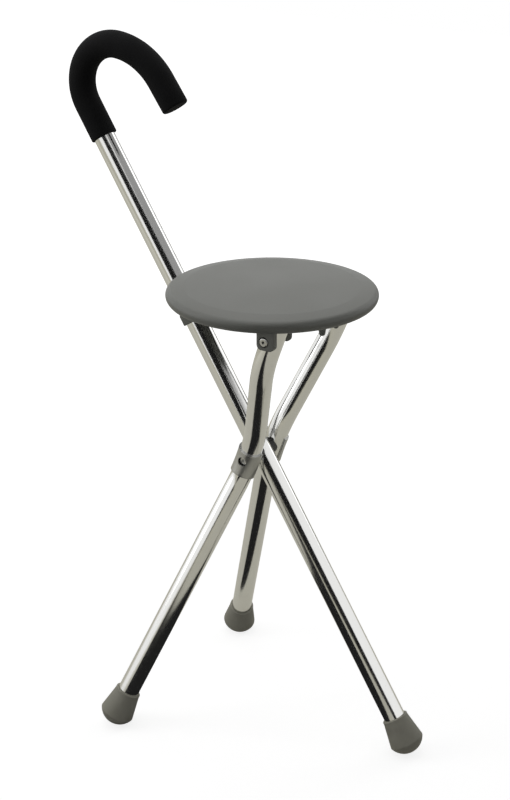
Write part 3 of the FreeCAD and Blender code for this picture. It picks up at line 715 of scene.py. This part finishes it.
def hand_over(obj: Piece, body: str, finish: Finish, *nodes: str) -> None:
    """Dress a finished piece, hang it on its body and put it in place of its solids.

    Args:
        obj: The placed piece.
        body: Body that it moves with.
        finish: Its finish.
        nodes: Solids that it stands for.
    """
    smooth(obj)
    WARDROBE.dress(obj, finish)
    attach(obj, body)
    if nodes:
        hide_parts(*nodes)
    LOG.info("%s: %d faces, moves with %s", obj.name, len(obj.data.polygons), body)


# Sub-assemblies


@dataclass(frozen=True)
class Foot:
    """A rubber ferrule with a domed sole, cut flat where it stands."""

    length: float = 0.040
    sole: float = 0.0095
    rim_wall: float = 0.0021
    widest: float = 0.0178
    dome: float = 0.012
    flat: float = 0.0004
    edge_round: float = 0.0015
    disc: float = 0.0015
    lip: float = 0.0009
    lip_height: float = 0.0030
    cone_end: float = 0.0022
    groove: float = 0.0005
    groove_rise: float = 0.0002
    lip_ease: float = 0.0003
    mouth_ease: float = 0.0004

    @property
    def ball(self) -> float:
        """Radius of the ball that the sole is a part of."""
        return (self.widest**2 + self.dome**2) / (2 * self.dome)

    def model(self, name: str, place: Matrix) -> Piece:
        """Turn the ferrule and cut its sole level with the floor.

        Args:
            name: Name of the piece.
            place: Frame on the sole, looking up the tube.

        Returns:
            The placed ferrule.
        """
        inner = STANCE.tube_radius + PRESS_GAP
        rim = STANCE.tube_radius + self.rim_wall
        slope = math.atan2(self.widest - rim, self.length - self.dome)
        edge = math.acos(self.widest / self.ball)
        half = (slope + edge) / 2
        reach = self.edge_round / math.cos(half)
        centre = (
            self.widest - reach * math.cos((slope - edge) / 2),
            self.dome - reach * math.sin((slope - edge) / 2),
        )
        low = -math.degrees(edge + self.edge_round * math.tan(half) / self.ball)
        lip = self.lip
        neck = self.length - self.lip_height
        rings = arc((0.0, self.ball), self.ball, -84.0, low, 22)
        rings += arc(centre, self.edge_round, low, math.degrees(slope), 6)[1:]
        rings += [(rim + self.cone_end * math.tan(slope), neck - self.groove)]
        rings += [(rim + self.groove_rise, neck)]
        rings += arc((rim - lip + self.lip_ease, self.length - lip), lip, 10.0, 90.0, 5)
        rings += [(inner + self.lip_ease, self.length), (inner, self.length - self.mouth_ease)]
        rings += [(inner, self.sole)]
        obj = turned(name, rings)
        settle(obj, place)
        saw(obj, (0, 0, 0), (0, 0, -1))
        return obj


@dataclass(frozen=True)
class Cane:
    """The shaft with its crook, foam grip and foot."""

    hook_start: float = 0.3878
    hook_radius: float = 0.0409
    hook_bend: float = math.radians(128.0)
    wide_radius: float = 0.0728
    wide_bend: float = math.radians(48.9)
    hook_tail: float = 0.0292
    grip_start: float = 0.351
    grip_radius: float = 0.0135
    grip_end_wall: float = 0.004
    end_round: float = 0.0020
    mouth_round: float = 0.0013
    plug_flange: float = 0.0015
    cross_hole: float = 0.00355
    foot: Foot = Foot()

    @property
    def foot_end(self) -> float:
        """Distance from the hub down the cane to the sole."""
        rise = STANCE.hub[2] - (self.foot.ball - self.foot.flat)
        return rise / math.cos(STANCE.cane_lean) + self.foot.ball

    def bent_bar(self, name: str, start: float, tail: float, radius: float) -> TubeBender:
        """Bend a bar along the cane's centre line.

        Args:
            name: Name of the piece.
            start: Where it starts, measured from the hub up the shaft.
            tail: Length past the crook.
            radius: Radius of the bar.

        Returns:
            The bender, with its last ring selected.
        """
        bender = TubeBender(name, (0, 0, start), (0, 0, 1), radius)
        bender.run(self.hook_start - start, 3)
        bender.bend((0, -self.hook_radius, self.hook_start), (1, 0, 0), self.hook_bend, 44)
        outwards = Vector((0, math.cos(self.hook_bend), math.sin(self.hook_bend)))
        bender.bend(bender.place - outwards * self.wide_radius, (1, 0, 0), self.wide_bend, 20)
        bender.run(tail, 2)
        return bender

    def build(self) -> None:
        """Make the cane's pieces."""
        tube_end = self.foot.sole + self.foot.disc - self.foot_end
        tail = self.hook_tail - self.grip_end_wall - self.plug_flange
        shaft = self.bent_bar("cane_shaft", tube_end, tail, STANCE.tube_radius).finish(STANCE.tube_wall)
        past = 2 * STANCE.tube_radius
        combine(shaft, plug_tool((-past, 0, 0), (past, 0, 0), self.cross_hole))
        hand_over(settle(shaft, STANCE.cane), "cane", CANE_METAL, "cane_tube")
        self.build_grip()
        sole = STANCE.cane @ Matrix.Translation((0, 0, -self.foot_end))
        hand_over(self.foot.model("cane_ferrule", sole), "cane", FOOT_RUBBER, "cane_foot")

    def build_grip(self) -> None:
        """Make the foam sleeve, closed at its end and rounded at both."""
        bender = self.bent_bar("foam_grip", self.grip_start, self.hook_tail, self.grip_radius)
        end, heading = bender.place.copy(), bender.heading.copy()
        grip = bender.finish(self.grip_radius - STANCE.tube_radius - PRESS_GAP, closed_end=True)
        rim = self.grip_radius - 10 * TOUCH

        def on_end(*points: Vector) -> bool:
            """Whether points lie on the outer rim of the closed end."""
            return all(abs((p - end).dot(heading)) < TOUCH and (p - end).length > rim for p in points)

        def on_mouth(*points: Vector) -> bool:
            """Whether points lie on the outer rim of the mouth."""
            return all(abs(p.z - self.grip_start) < TOUCH and math.hypot(p.x, p.y) > rim for p in points)

        round_edges(grip, on_end, self.end_round, 6)
        round_edges(grip, on_mouth, self.mouth_round, 4)
        hand_over(settle(grip, STANCE.cane), "cane", GRIP_FOAM, "handle_grip")


@dataclass(frozen=True)
class SideLegs:
    """The two bent legs with their feet and the saddles at the hub."""

    hub_x: float = 0.0234
    bend_radius: float = 0.110
    lower_splay: float = math.radians(18.2)
    upper_splay: float = math.radians(22.1)
    top_x: float = 0.066
    pin_height: float = 0.162
    stub: float = 0.0125
    hub_hole: float = 0.00355
    pin_hole: float = 0.00355
    head_hole: float = 0.00477
    hole_ease: float = 0.00035
    saddle_wall: float = 0.0018
    saddle_above: float = 0.0115
    saddle_below: float = 0.018
    saddle_wrap: float = 0.002
    foot: Foot = Foot()

    @property
    def lower_run(self) -> float:
        """Length of the straight part below the hub, to the middle of the sole's ball."""
        drop = (STANCE.hub[2] - self.foot.ball + self.foot.flat) / math.cos(STANCE.leg_lean)
        return (drop - self.bend_radius * math.sin(self.lower_splay)) / math.cos(self.lower_splay)

    def leg_tube(self) -> Piece:
        """Bend the right leg's tube from its top down, and drill it.

        Returns:
            The tube in the legs' frame.
        """
        radius = self.bend_radius
        shift = radius * (1 - math.cos(self.upper_splay))
        rise = radius * math.sin(self.upper_splay)
        slant = (self.top_x - self.hub_x - 2 * shift) / math.sin(self.upper_splay)
        knee = 2 * rise + slant * math.cos(self.upper_splay)
        top = self.pin_height + self.stub
        bender = TubeBender("right_bent_tube", (self.top_x, 0, top), (0, 0, -1), STANCE.tube_radius)
        bender.run(top - knee)
        bender.bend((self.top_x - radius, 0, knee), (0, 1, 0), self.upper_splay, 20)
        bender.run(slant)
        bender.bend((self.hub_x + radius, 0, 0), (0, 1, 0), -self.upper_splay - self.lower_splay, 32)
        bender.run(self.lower_run + self.foot.ball - self.foot.sole - self.foot.disc, 2)
        tube = bender.finish(STANCE.tube_wall)
        past = 2 * STANCE.tube_radius
        far = (self.hub_x + past, 0, 0)
        combine(tube, plug_tool((0, 0, 0), far, self.hub_hole))
        combine(tube, plug_tool((self.hub_x, 0, 0), far, self.head_hole + self.hole_ease))
        pin = self.pin_height
        combine(tube, plug_tool((self.top_x - past, 0, pin), (self.top_x + past, 0, pin), self.pin_hole))
        return tube

    def saddle_shell(self) -> Piece:
        """Hollow the saddle, open its inner side, round its edges and cut the screw's recess.

        Returns:
            The finished saddle in the legs' frame.
        """
        low = self.saddle_below / self.bend_radius
        centre = (self.hub_x + self.bend_radius, 0.0, 0.0)
        start = (centre[0] - self.bend_radius * math.cos(low), 0.0, -self.bend_radius * math.sin(low))
        heading = (-math.sin(low), 0.0, math.cos(low))
        saddle_radius = STANCE.tube_radius + self.saddle_wall
        outer = TubeBender("right_moulded_saddle", start, heading, saddle_radius, 96)
        outer.bend(centre, (0, 1, 0), low + self.saddle_above / self.bend_radius, 18)
        shell = outer.finish(self.saddle_wall - PRESS_GAP)
        saw(shell, (self.hub_x - self.saddle_wrap, 0, 0), (-1, 0, 0))
        break_edges(shell)
        far = (self.hub_x + 2 * STANCE.tube_radius, 0, 0)
        combine(shell, plug_tool((self.hub_x, 0, 0), far, self.head_hole))
        return shell

    def build(self) -> None:
        """Make the right leg's pieces and mirror them for the left leg."""
        foot_place = (
            STANCE.leg
            @ Matrix.Translation((self.hub_x + self.bend_radius, 0, 0))
            @ Matrix.Rotation(-self.lower_splay, 4, "Y")
            @ Matrix.Translation((-self.bend_radius, 0, -self.lower_run - self.foot.ball))
        )
        pieces = (
            (settle(self.leg_tube(), STANCE.leg), LEG_METAL, "bent_tube", "leg_tube"),
            (settle(self.saddle_shell(), STANCE.leg), SADDLE_PLASTIC, "moulded_saddle", "hub_saddle"),
            (self.foot.model("right_ferrule", foot_place), FOOT_RUBBER, "ferrule", "foot"),
        )
        for piece, finish, part, node in pieces:
            mirrored = twin(piece, f"{Side.LEFT.value}_{part}")
            hand_over(piece, "right_leg", finish, f"{Side.RIGHT.value}_{node}")
            hand_over(mirrored, "left_leg", finish, f"{Side.LEFT.value}_{node}")


@dataclass(frozen=True)
class Seat:
    """The moulded seat with its rolled rim, ribs, ears and fork, and its two screws."""

    axis_y: float = -0.0123124
    pin_y: float = -0.0438912
    radius: float = 0.1035
    flat_radius: float = 0.086
    shoulder: float = 0.060
    slope: float = math.radians(10.0)
    bead: float = 0.007
    lip: float = 0.003
    plate: float = 0.0035
    rim_drop: float = 0.0098
    rib_wall: float = 0.0025
    rib_lift: float = 0.0013
    rib_ring: float = 0.024
    ribs: int = 8
    ear_gap: float = 0.0004
    ear_outer: float = 0.0065
    ear_inner: float = 0.004
    ear_back: float = 0.008
    ear_front: float = 0.0107
    outer_below: float = 0.0082
    inner_below: float = 0.0066
    ear_corner: float = 0.005
    fork_gap: float = 0.0004
    fork_wall: float = 0.003
    fork_end: float = 0.146
    fork_top: float = 0.172
    fork_behind: float = 0.0062
    fork_before: float = 0.012
    fork_root: float = 0.072
    clip_ahead: float = 0.0207
    clip_below: float = 0.0108
    clip_width: float = 0.006
    clip_root: float = 0.016
    screw_hole: float = 0.00255
    recess: float = 0.00525
    recess_depth: float = 0.0022
    leg_x: float = 0.066
    pin_height: float = 0.162
    crease_before: float = 0.0004
    crease_after: float = 0.0006
    inner_ease: float = 0.0005
    sunk: float = 0.85
    clip_corner: float = 0.8
    prong_low: Ring = (0.04, -0.08)
    prong_reach: float = 0.6
    prong_break: float = 0.0008
    screw_head: float = 0.0044
    screw_height: float = 0.003
    screw_shank: float = 0.0025
    screw_socket: float = 0.003
    screw_past: float = 0.0045

    @property
    def place(self) -> Matrix:
        """The seat's frame: on its axis, at the height of the pins."""
        rise = self.pin_height * math.cos(STANCE.leg_lean)
        return Matrix.Translation(STANCE.hub) @ Matrix.Translation((0, self.axis_y, rise))

    @property
    def bead_centre(self) -> Ring:
        """Centre of the rolled rim's round, as radius and height."""
        return (self.radius - self.bead, self.rim_drop + self.bead)

    @property
    def root(self) -> float:
        """Height in the plate up to which ribs, ears, fork and clip reach."""
        return self.top - self.plate * self.sunk

    @property
    def top(self) -> float:
        """Height of the flat top over the pins."""
        across = self.bead_centre[0] - self.flat_radius
        return self.bead_centre[1] + self.shoulder - math.sqrt((self.shoulder - self.bead) ** 2 - across**2)

    def shell(self) -> Piece:
        """Turn the plate with its shoulder, rolled rim and underside.

        Returns:
            The shell in the seat's frame.
        """
        under = self.top - self.plate
        fall = math.tan(self.slope)
        height = self.bead_centre[1]
        roll = (self.top - height) * math.cos(self.slope)
        roll = (roll - (self.radius - self.flat_radius) * math.sin(self.slope)) / (1 - math.sin(self.slope))
        rings = [(self.flat_radius - self.crease_before, self.top)]
        rings += [(self.flat_radius + self.crease_after, self.top - self.crease_after * fall)]
        rings += arc((self.radius - roll, height), roll, 90.0 - math.degrees(self.slope), 0.0, 14)
        rings += arc(self.bead_centre, self.bead, 0.0, -90.0, 16)[1:]
        inner = self.bead_centre[0] - self.lip
        ease = self.inner_ease
        rings += [(inner + ease, self.rim_drop), (inner, self.rim_drop + ease)]
        rings += [(inner, under - ease), (inner - ease, under)]
        return turned("moulded_seat", rings, 192)

    def rib_pieces(self) -> list[Piece]:
        """Make the spokes and the middle ring under the plate.

        Returns:
            The ribs in the seat's frame.
        """
        floor = self.rim_drop + self.rib_lift
        roof = self.root
        ring_in = self.rib_ring - self.rib_wall
        corners = [(ring_in, floor), (self.rib_ring, floor), (self.rib_ring, roof), (ring_in, roof)]
        ring = turned("rib_ring", corners)
        combine(ring, plug_tool((0, 0, floor - PAST), (0, 0, roof + PAST), ring_in, 96))
        pieces = [ring]
        reach = self.bead_centre[0] - self.lip / 2
        for i in range(self.ribs):
            low = (ring_in + self.rib_wall / 2, -self.rib_wall / 2, floor)
            spoke = slab(f"spoke_{i}", low, (reach, self.rib_wall / 2, roof))
            settle(spoke, Matrix.Rotation(math.tau * i / self.ribs, 4, "Z"))
            pieces.append(spoke)
        return pieces

    def ear(self, near: float, far: float, below: float) -> Piece:
        """Make one ear with rounded lower corners.

        Args:
            near: X of its lower face.
            far: X of its higher face.
            below: How far it reaches below the pins.

        Returns:
            The ear in the seat's frame.
        """
        low = (near, self.pin_y - self.ear_front, -below)
        high = (far, self.pin_y + self.ear_back, self.root)
        return round_foot(slab("ear", low, high), self.ear_corner)

    def clip_arm(self) -> Piece:
        """Make the right one of the two arms that hold the folded cane.

        Returns:
            The arm in the seat's frame.
        """
        middle = self.pin_y - self.clip_ahead
        near = STANCE.tube_radius + self.fork_gap
        root = self.root
        half = self.clip_width / 2
        drop = root + self.clip_below - half
        wide = self.clip_root / 2 - half
        cuts = [
            ((0.0, middle + half * way, half - self.clip_below), (0.0, drop * way, -wide))
            for way in (1, -1)
        ]
        low = (near, middle - self.clip_root / 2, -self.clip_below)
        high = (near + self.fork_wall, middle + self.clip_root / 2, root)
        return round_foot(slab("clip_arm", low, high, cuts), half * self.clip_corner)

    def prong(self) -> Piece:
        """Make the fork's right prong, in the seat's frame.

        Returns:
            The prong.
        """
        to_seat = self.place.inverted() @ STANCE.cane

        def spot(along: float, ahead: float) -> Vector:
            """A place along the cane and ahead of it, in the seat's frame."""
            return to_seat @ Vector((0, -ahead, along))

        def way(along: float, ahead: float) -> Vector:
            """A direction given in the cane's frame, in the seat's frame."""
            return to_seat.to_3x3() @ Vector((0, -ahead, along))

        lean_from = spot(self.fork_top, -self.fork_behind)
        rim = Vector((0, self.bead_centre[0], self.rim_drop))
        back = (rim - lean_from).normalized()
        front_from = spot(self.fork_end, self.fork_before)
        front = (Vector((0, self.fork_root, self.root)) - front_from).normalized()
        near = STANCE.tube_radius + self.fork_gap
        cuts = (
            (spot(self.fork_end, 0)[:], way(-1, 0)[:]),
            (spot(self.fork_end, -self.fork_behind)[:], way(0, -1)[:]),
            (lean_from[:], (0.0, back.z, -back.y)),
            (front_from[:], (0.0, -front.z, front.y)),
        )
        low = (near, *self.prong_low)
        far = self.bead_centre[0] + self.bead * self.prong_reach
        high = (near + self.fork_wall, far, self.root)
        block = slab("prong", low, high, cuts)
        break_edges(block, self.prong_break, 40.0)
        return block

    def build(self) -> None:
        """Make the seat in one moulding, and its screws."""
        seat = self.shell()
        outer = self.leg_x + STANCE.tube_radius + self.ear_gap
        inner = self.leg_x - STANCE.tube_radius - self.ear_gap
        extras = self.rib_pieces()
        for side in (1, -1):
            near, far = sorted((outer * side, (outer + self.ear_outer) * side))
            extras.append(self.ear(near, far, self.outer_below))
            near, far = sorted((inner * side, (inner - self.ear_inner) * side))
            extras.append(self.ear(near, far, self.inner_below))
        for piece in (self.prong(), self.clip_arm()):
            extras += [twin(piece, piece.name + "_twin"), piece]
        for piece in extras:
            combine(seat, piece, "UNION")
        face = outer + self.ear_outer
        reach = face + PAST
        combine(seat, plug_tool((-reach, self.pin_y, 0), (reach, self.pin_y, 0), self.screw_hole))
        for side in (1, -1):
            start = ((face - self.recess_depth) * side, self.pin_y, 0)
            combine(seat, plug_tool(start, (reach * side, self.pin_y, 0), self.recess))
        hand_over(settle(seat, self.place), "seat", SEAT_PLASTIC, "seat_shell")
        self.build_screws(face - self.recess_depth)

    def build_screws(self, seat_x: float) -> None:
        """Make the two screws with hexagon sockets.

        Args:
            seat_x: X of the face that a screw's head rests on.
        """
        pin = self.place @ Matrix.Translation((0, self.pin_y, 0))
        ear = self.leg_x - STANCE.tube_radius - self.ear_gap - self.ear_inner
        length = seat_x - ear + self.screw_past
        head = (self.screw_head, self.screw_height)
        screw = socket_screw("right_seat_screw", *head, self.screw_shank, length, self.screw_socket)
        settle(screw, pin @ Matrix.Translation((seat_x, 0, 0)) @ Matrix.Rotation(math.pi / 2, 4, "Y"))
        left = twin(screw, "left_seat_screw")
        take(left)
        screw.select_set(True)
        bpy.context.view_layer.objects.active = screw
        bpy.ops.object.join()
        screw.name = "seat_screws"
        hand_over(screw, "seat", SCREW_STEEL, "seat_pin_screws")


def socket_screw(
    name: str, head: float, height: float, shank: float, length: float, socket: float
) -> Piece:
    """Turn a screw with a rounded head and a hexagon socket; its head rests on Z = 0.

    Args:
        name: Name of the piece.
        head: Radius of the head.
        height: Height of the head.
        shank: Radius of the shank.
        length: Length below the head.
        socket: Width of the socket across flats.

    Returns:
        The screw, head up.
    """
    ease, chamfer, dome, deep = 0.0002, 0.0006, 0.0011, 0.002
    rings = [(shank * 0.8, -length), (shank, chamfer - length), (shank, 0.0)]
    rings += [(head - ease, 0.0), (head, ease)]
    rings += arc((head - dome, height - dome), dome, 0.0, 90.0, 6)
    screw = turned(name, rings, 64)
    combine(screw, plug_tool((0, 0, height - deep), (0, 0, height + deep), socket / math.sqrt(3), 6))
    return screw


@dataclass(frozen=True)
class Hub:
    """The bolt through cane and legs."""

    seat_x: float = 0.0299
    head_radius: float = 0.00425
    head_height: float = 0.003
    socket: float = 0.003
    shank: float = 0.0025
    nut_height: float = 0.005
    end: float = 0.0005

    def build(self) -> None:
        """Make the bolt, its head at the left leg."""
        length = 2 * self.seat_x + self.nut_height + self.end
        head = (self.head_radius, self.head_height)
        bolt = socket_screw("hub_screw", *head, self.shank, length, self.socket)
        place = STANCE.cane @ Matrix.Translation((-self.seat_x, 0, 0))
        place = place @ Matrix.Rotation(-math.pi / 2, 4, "Y")
        hand_over(settle(bolt, place), "cane", SCREW_STEEL, "hub_bolt")


# Hidden and small pieces keep their solids

KEPT: dict[str, Finish] = {
    "handle_end_plug": PLUG_PLASTIC,
    "cane_foot_disc": DISC_STEEL,
    "cane_hub_sleeve": SLEEVE_STEEL,
    "cane_hub_spacers": SPACER_PLASTIC,
    "hub_nut": SCREW_STEEL,
    "seat_pin_nuts": SCREW_STEEL,
}
for side in Side:
    KEPT |= {
        f"{side.value}_hub_spacer": SPACER_PLASTIC,
        f"{side.value}_hub_sleeve": SLEEVE_STEEL,
        f"{side.value}_pin_sleeve": SLEEVE_STEEL,
        f"{side.value}_leg_cap": PLUG_PLASTIC,
        f"{side.value}_foot_disc": DISC_STEEL,
    }


@dataclass(frozen=True)
class Studio:
    """The pale floor, the lamps, the reflections and the camera."""

    azimuth: float = math.radians(-57.0923)
    elevation: float = math.radians(22.0234)
    distance: float = 1.7741738
    sideways: float = -0.0061975
    upwards: float = 0.3240203
    scale: float = 926.9
    picture_height: float = 800.0
    sensor: float = 36.0
    lamps_at: Point = (0.0, 0.0, 0.35)
    floor_size: float = 8.0
    floor_drop: float = 0.0002
    floor_shade: float = 0.45
    floor_reach: Ring = (0.5, 1.5)
    floor_lift: Ring = (0.82, 1.05)
    # Beige that only reflections see on the floor: a painted reflection colour
    floor_reflection_tint: Colour = (0.34, 0.325, 0.25)
    sky_light: float = 0.18

    def camera(self) -> None:
        """Set the camera where the photograph was taken from."""
        sin_a, cos_a = math.sin(self.azimuth), math.cos(self.azimuth)
        sin_e, cos_e = math.sin(self.elevation), math.cos(self.elevation)
        right = Vector((cos_a, sin_a, 0.0))
        back = Vector((sin_a * cos_e, -cos_a * cos_e, sin_e))
        up = back.cross(right)
        place = Vector((0.0, STANCE.hub[1], 0.0))
        place += right * self.sideways + up * self.upwards + back * self.distance
        bpy.ops.object.camera_add(location=place)
        camera = bpy.context.object
        camera.rotation_euler = Matrix((right, up, back)).transposed().to_euler()
        camera.data.sensor_width = self.sensor
        camera.data.lens = self.scale * self.distance / self.picture_height * self.sensor
        camera.data.clip_end = 50.0
        bpy.context.scene.camera = camera

    def lamp(self, name: str, place: Point, size: Ring, power: float) -> None:
        """Hang a soft box that faces the middle of the object.

        Args:
            name: Name of the lamp.
            place: Its centre.
            size: Width and height.
            power: Power in watts.
        """
        start_clean()
        bpy.ops.object.light_add(type="AREA", location=place)
        lamp = bpy.context.object
        lamp.name = lamp.data.name = name
        lamp.data.shape = "RECTANGLE"
        lamp.data.size, lamp.data.size_y = size
        lamp.data.energy = power
        aim = Vector(self.lamps_at) - Vector(place)
        lamp.rotation_euler = aim.to_track_quat("-Z", "Y").to_euler()

    def card(self, name: str, place: Point, size: Ring, shade: float, flat: bool = False) -> None:
        """Stand or lay a card that shows only in reflections.

        Args:
            name: Name of the card.
            place: Its centre.
            size: Width and height.
            shade: Its brightness, 0 for black.
            flat: Whether it lies on the floor.
        """
        start_clean()
        aim = Vector((0.0, 0.0, 1.0)) if flat else Vector((-place[0], -place[1], 0.0))
        bpy.ops.mesh.primitive_plane_add(
            size=1.0, location=place, rotation=aim.to_track_quat("Z", "Y").to_euler()
        )
        card = bpy.context.object
        card.name = card.data.name = name
        card.scale = (size[0], size[1], 1.0)
        card.visible_camera = card.visible_diffuse = card.visible_shadow = False
        card.visible_transmission = card.visible_volume_scatter = False
        desk, material = new_material(name)
        glow = desk.add("Emission", {"Color": (shade, shade, shade, 1.0)})
        desk.add("OutputMaterial", {"Surface": glow.outputs[0]})
        card.data.materials.append(material)

    def floor(self) -> None:
        """Lay the pale floor, which shows near white, keeps the shadow and shows a painted beige tint in
        reflections.
        """
        start_clean()
        bpy.ops.mesh.primitive_plane_add(size=self.floor_size, location=(0, 0, -self.floor_drop))
        floor = bpy.context.object
        floor.name = floor.data.name = "pale_floor"
        desk, material = new_material("Pale floor")
        matte = desk.add("BsdfDiffuse", {"Color": (*[self.floor_shade] * 3, 1.0)})
        rays = desk.add("LightPath").outputs
        place = desk.add("TexCoord").outputs["Object"]
        away = desk.add("VectorMath", {0: place}, operation="LENGTH").outputs["Value"]
        (near, far), (low, high) = self.floor_reach, self.floor_lift
        reach = {"Value": away, "From Min": near, "From Max": far, "To Min": low, "To Max": high}
        level = desk.add("MapRange", reach)
        share = desk.add("Math", {0: desk.seen(rays), 1: level.outputs[0]}, operation="MULTIPLY")
        # Painted reflection: glossy rays see the floor in a beige tint, while the camera sees it white
        tone = desk.mix(rays["Is Glossy Ray"], (1.0, 1.0, 1.0), self.floor_reflection_tint)
        lift = desk.add("Emission", {"Color": tone, "Strength": share.outputs[0]})
        both = desk.add("AddShader", {0: matte.outputs[0], 1: lift.outputs[0]})
        desk.add("OutputMaterial", {"Surface": both.outputs[0]})
        floor.data.materials.append(material)

    def sky(self) -> None:
        """Light all round softly, and show white to the camera and to metal."""
        world = bpy.data.worlds.new("Studio")
        bpy.context.scene.world = world
        world.use_nodes = True
        desk = Desk(world.node_tree)
        level = desk.span(desk.seen(desk.add("LightPath").outputs), self.sky_light, 1.0)
        glow = desk.add("Background", {"Color": (1.0, 1.0, 1.0, 1.0), "Strength": level})
        desk.add("OutputWorld", {"Surface": glow.outputs[0]})

    def build(self) -> None:
        """Set up the studio."""
        self.camera()
        self.floor()
        self.sky()
        self.lamp("overhead_box", (0.1, 0.3, 1.9), (1.6, 1.6), 7.6)
        self.lamp("left_box", (-0.9, 1.3, 0.9), (0.8, 1.2), 5.0)
        self.lamp("right_box", (1.5, -0.4, 0.9), (0.8, 1.2), 3.0)
        self.card("camera_side_flag", (-1.86, -0.99, 1.0), (2.2, 1.9), 0.012)
        self.card("ceiling_card", (0.35, -1.98, 2.5), (4.2, 2.0), 0.34)
        self.card("right_edge_flag", (2.0, -0.15, 0.75), (0.9, 1.7), 0.08)
        self.card("dark_runner", (-0.77, -0.02, 0.0004), (1.66, 0.28), 0.015, flat=True)
        bpy.context.scene.view_settings.view_transform = "Standard"


def main() -> None:
    """Build every sub-assembly, then the studio, and note the sizes."""
    logging.basicConfig(level=logging.INFO, format="%(message)s")
    Cane().build()
    SideLegs().build()
    Hub().build()
    Seat().build()
    for node, finish in KEPT.items():
        WARDROBE.dress_node(node, finish)
        LOG.info("%s keeps its solid", node)
    Studio().build()
    bpy.context.view_layer.update()


if __name__ == "__main__":
    main()
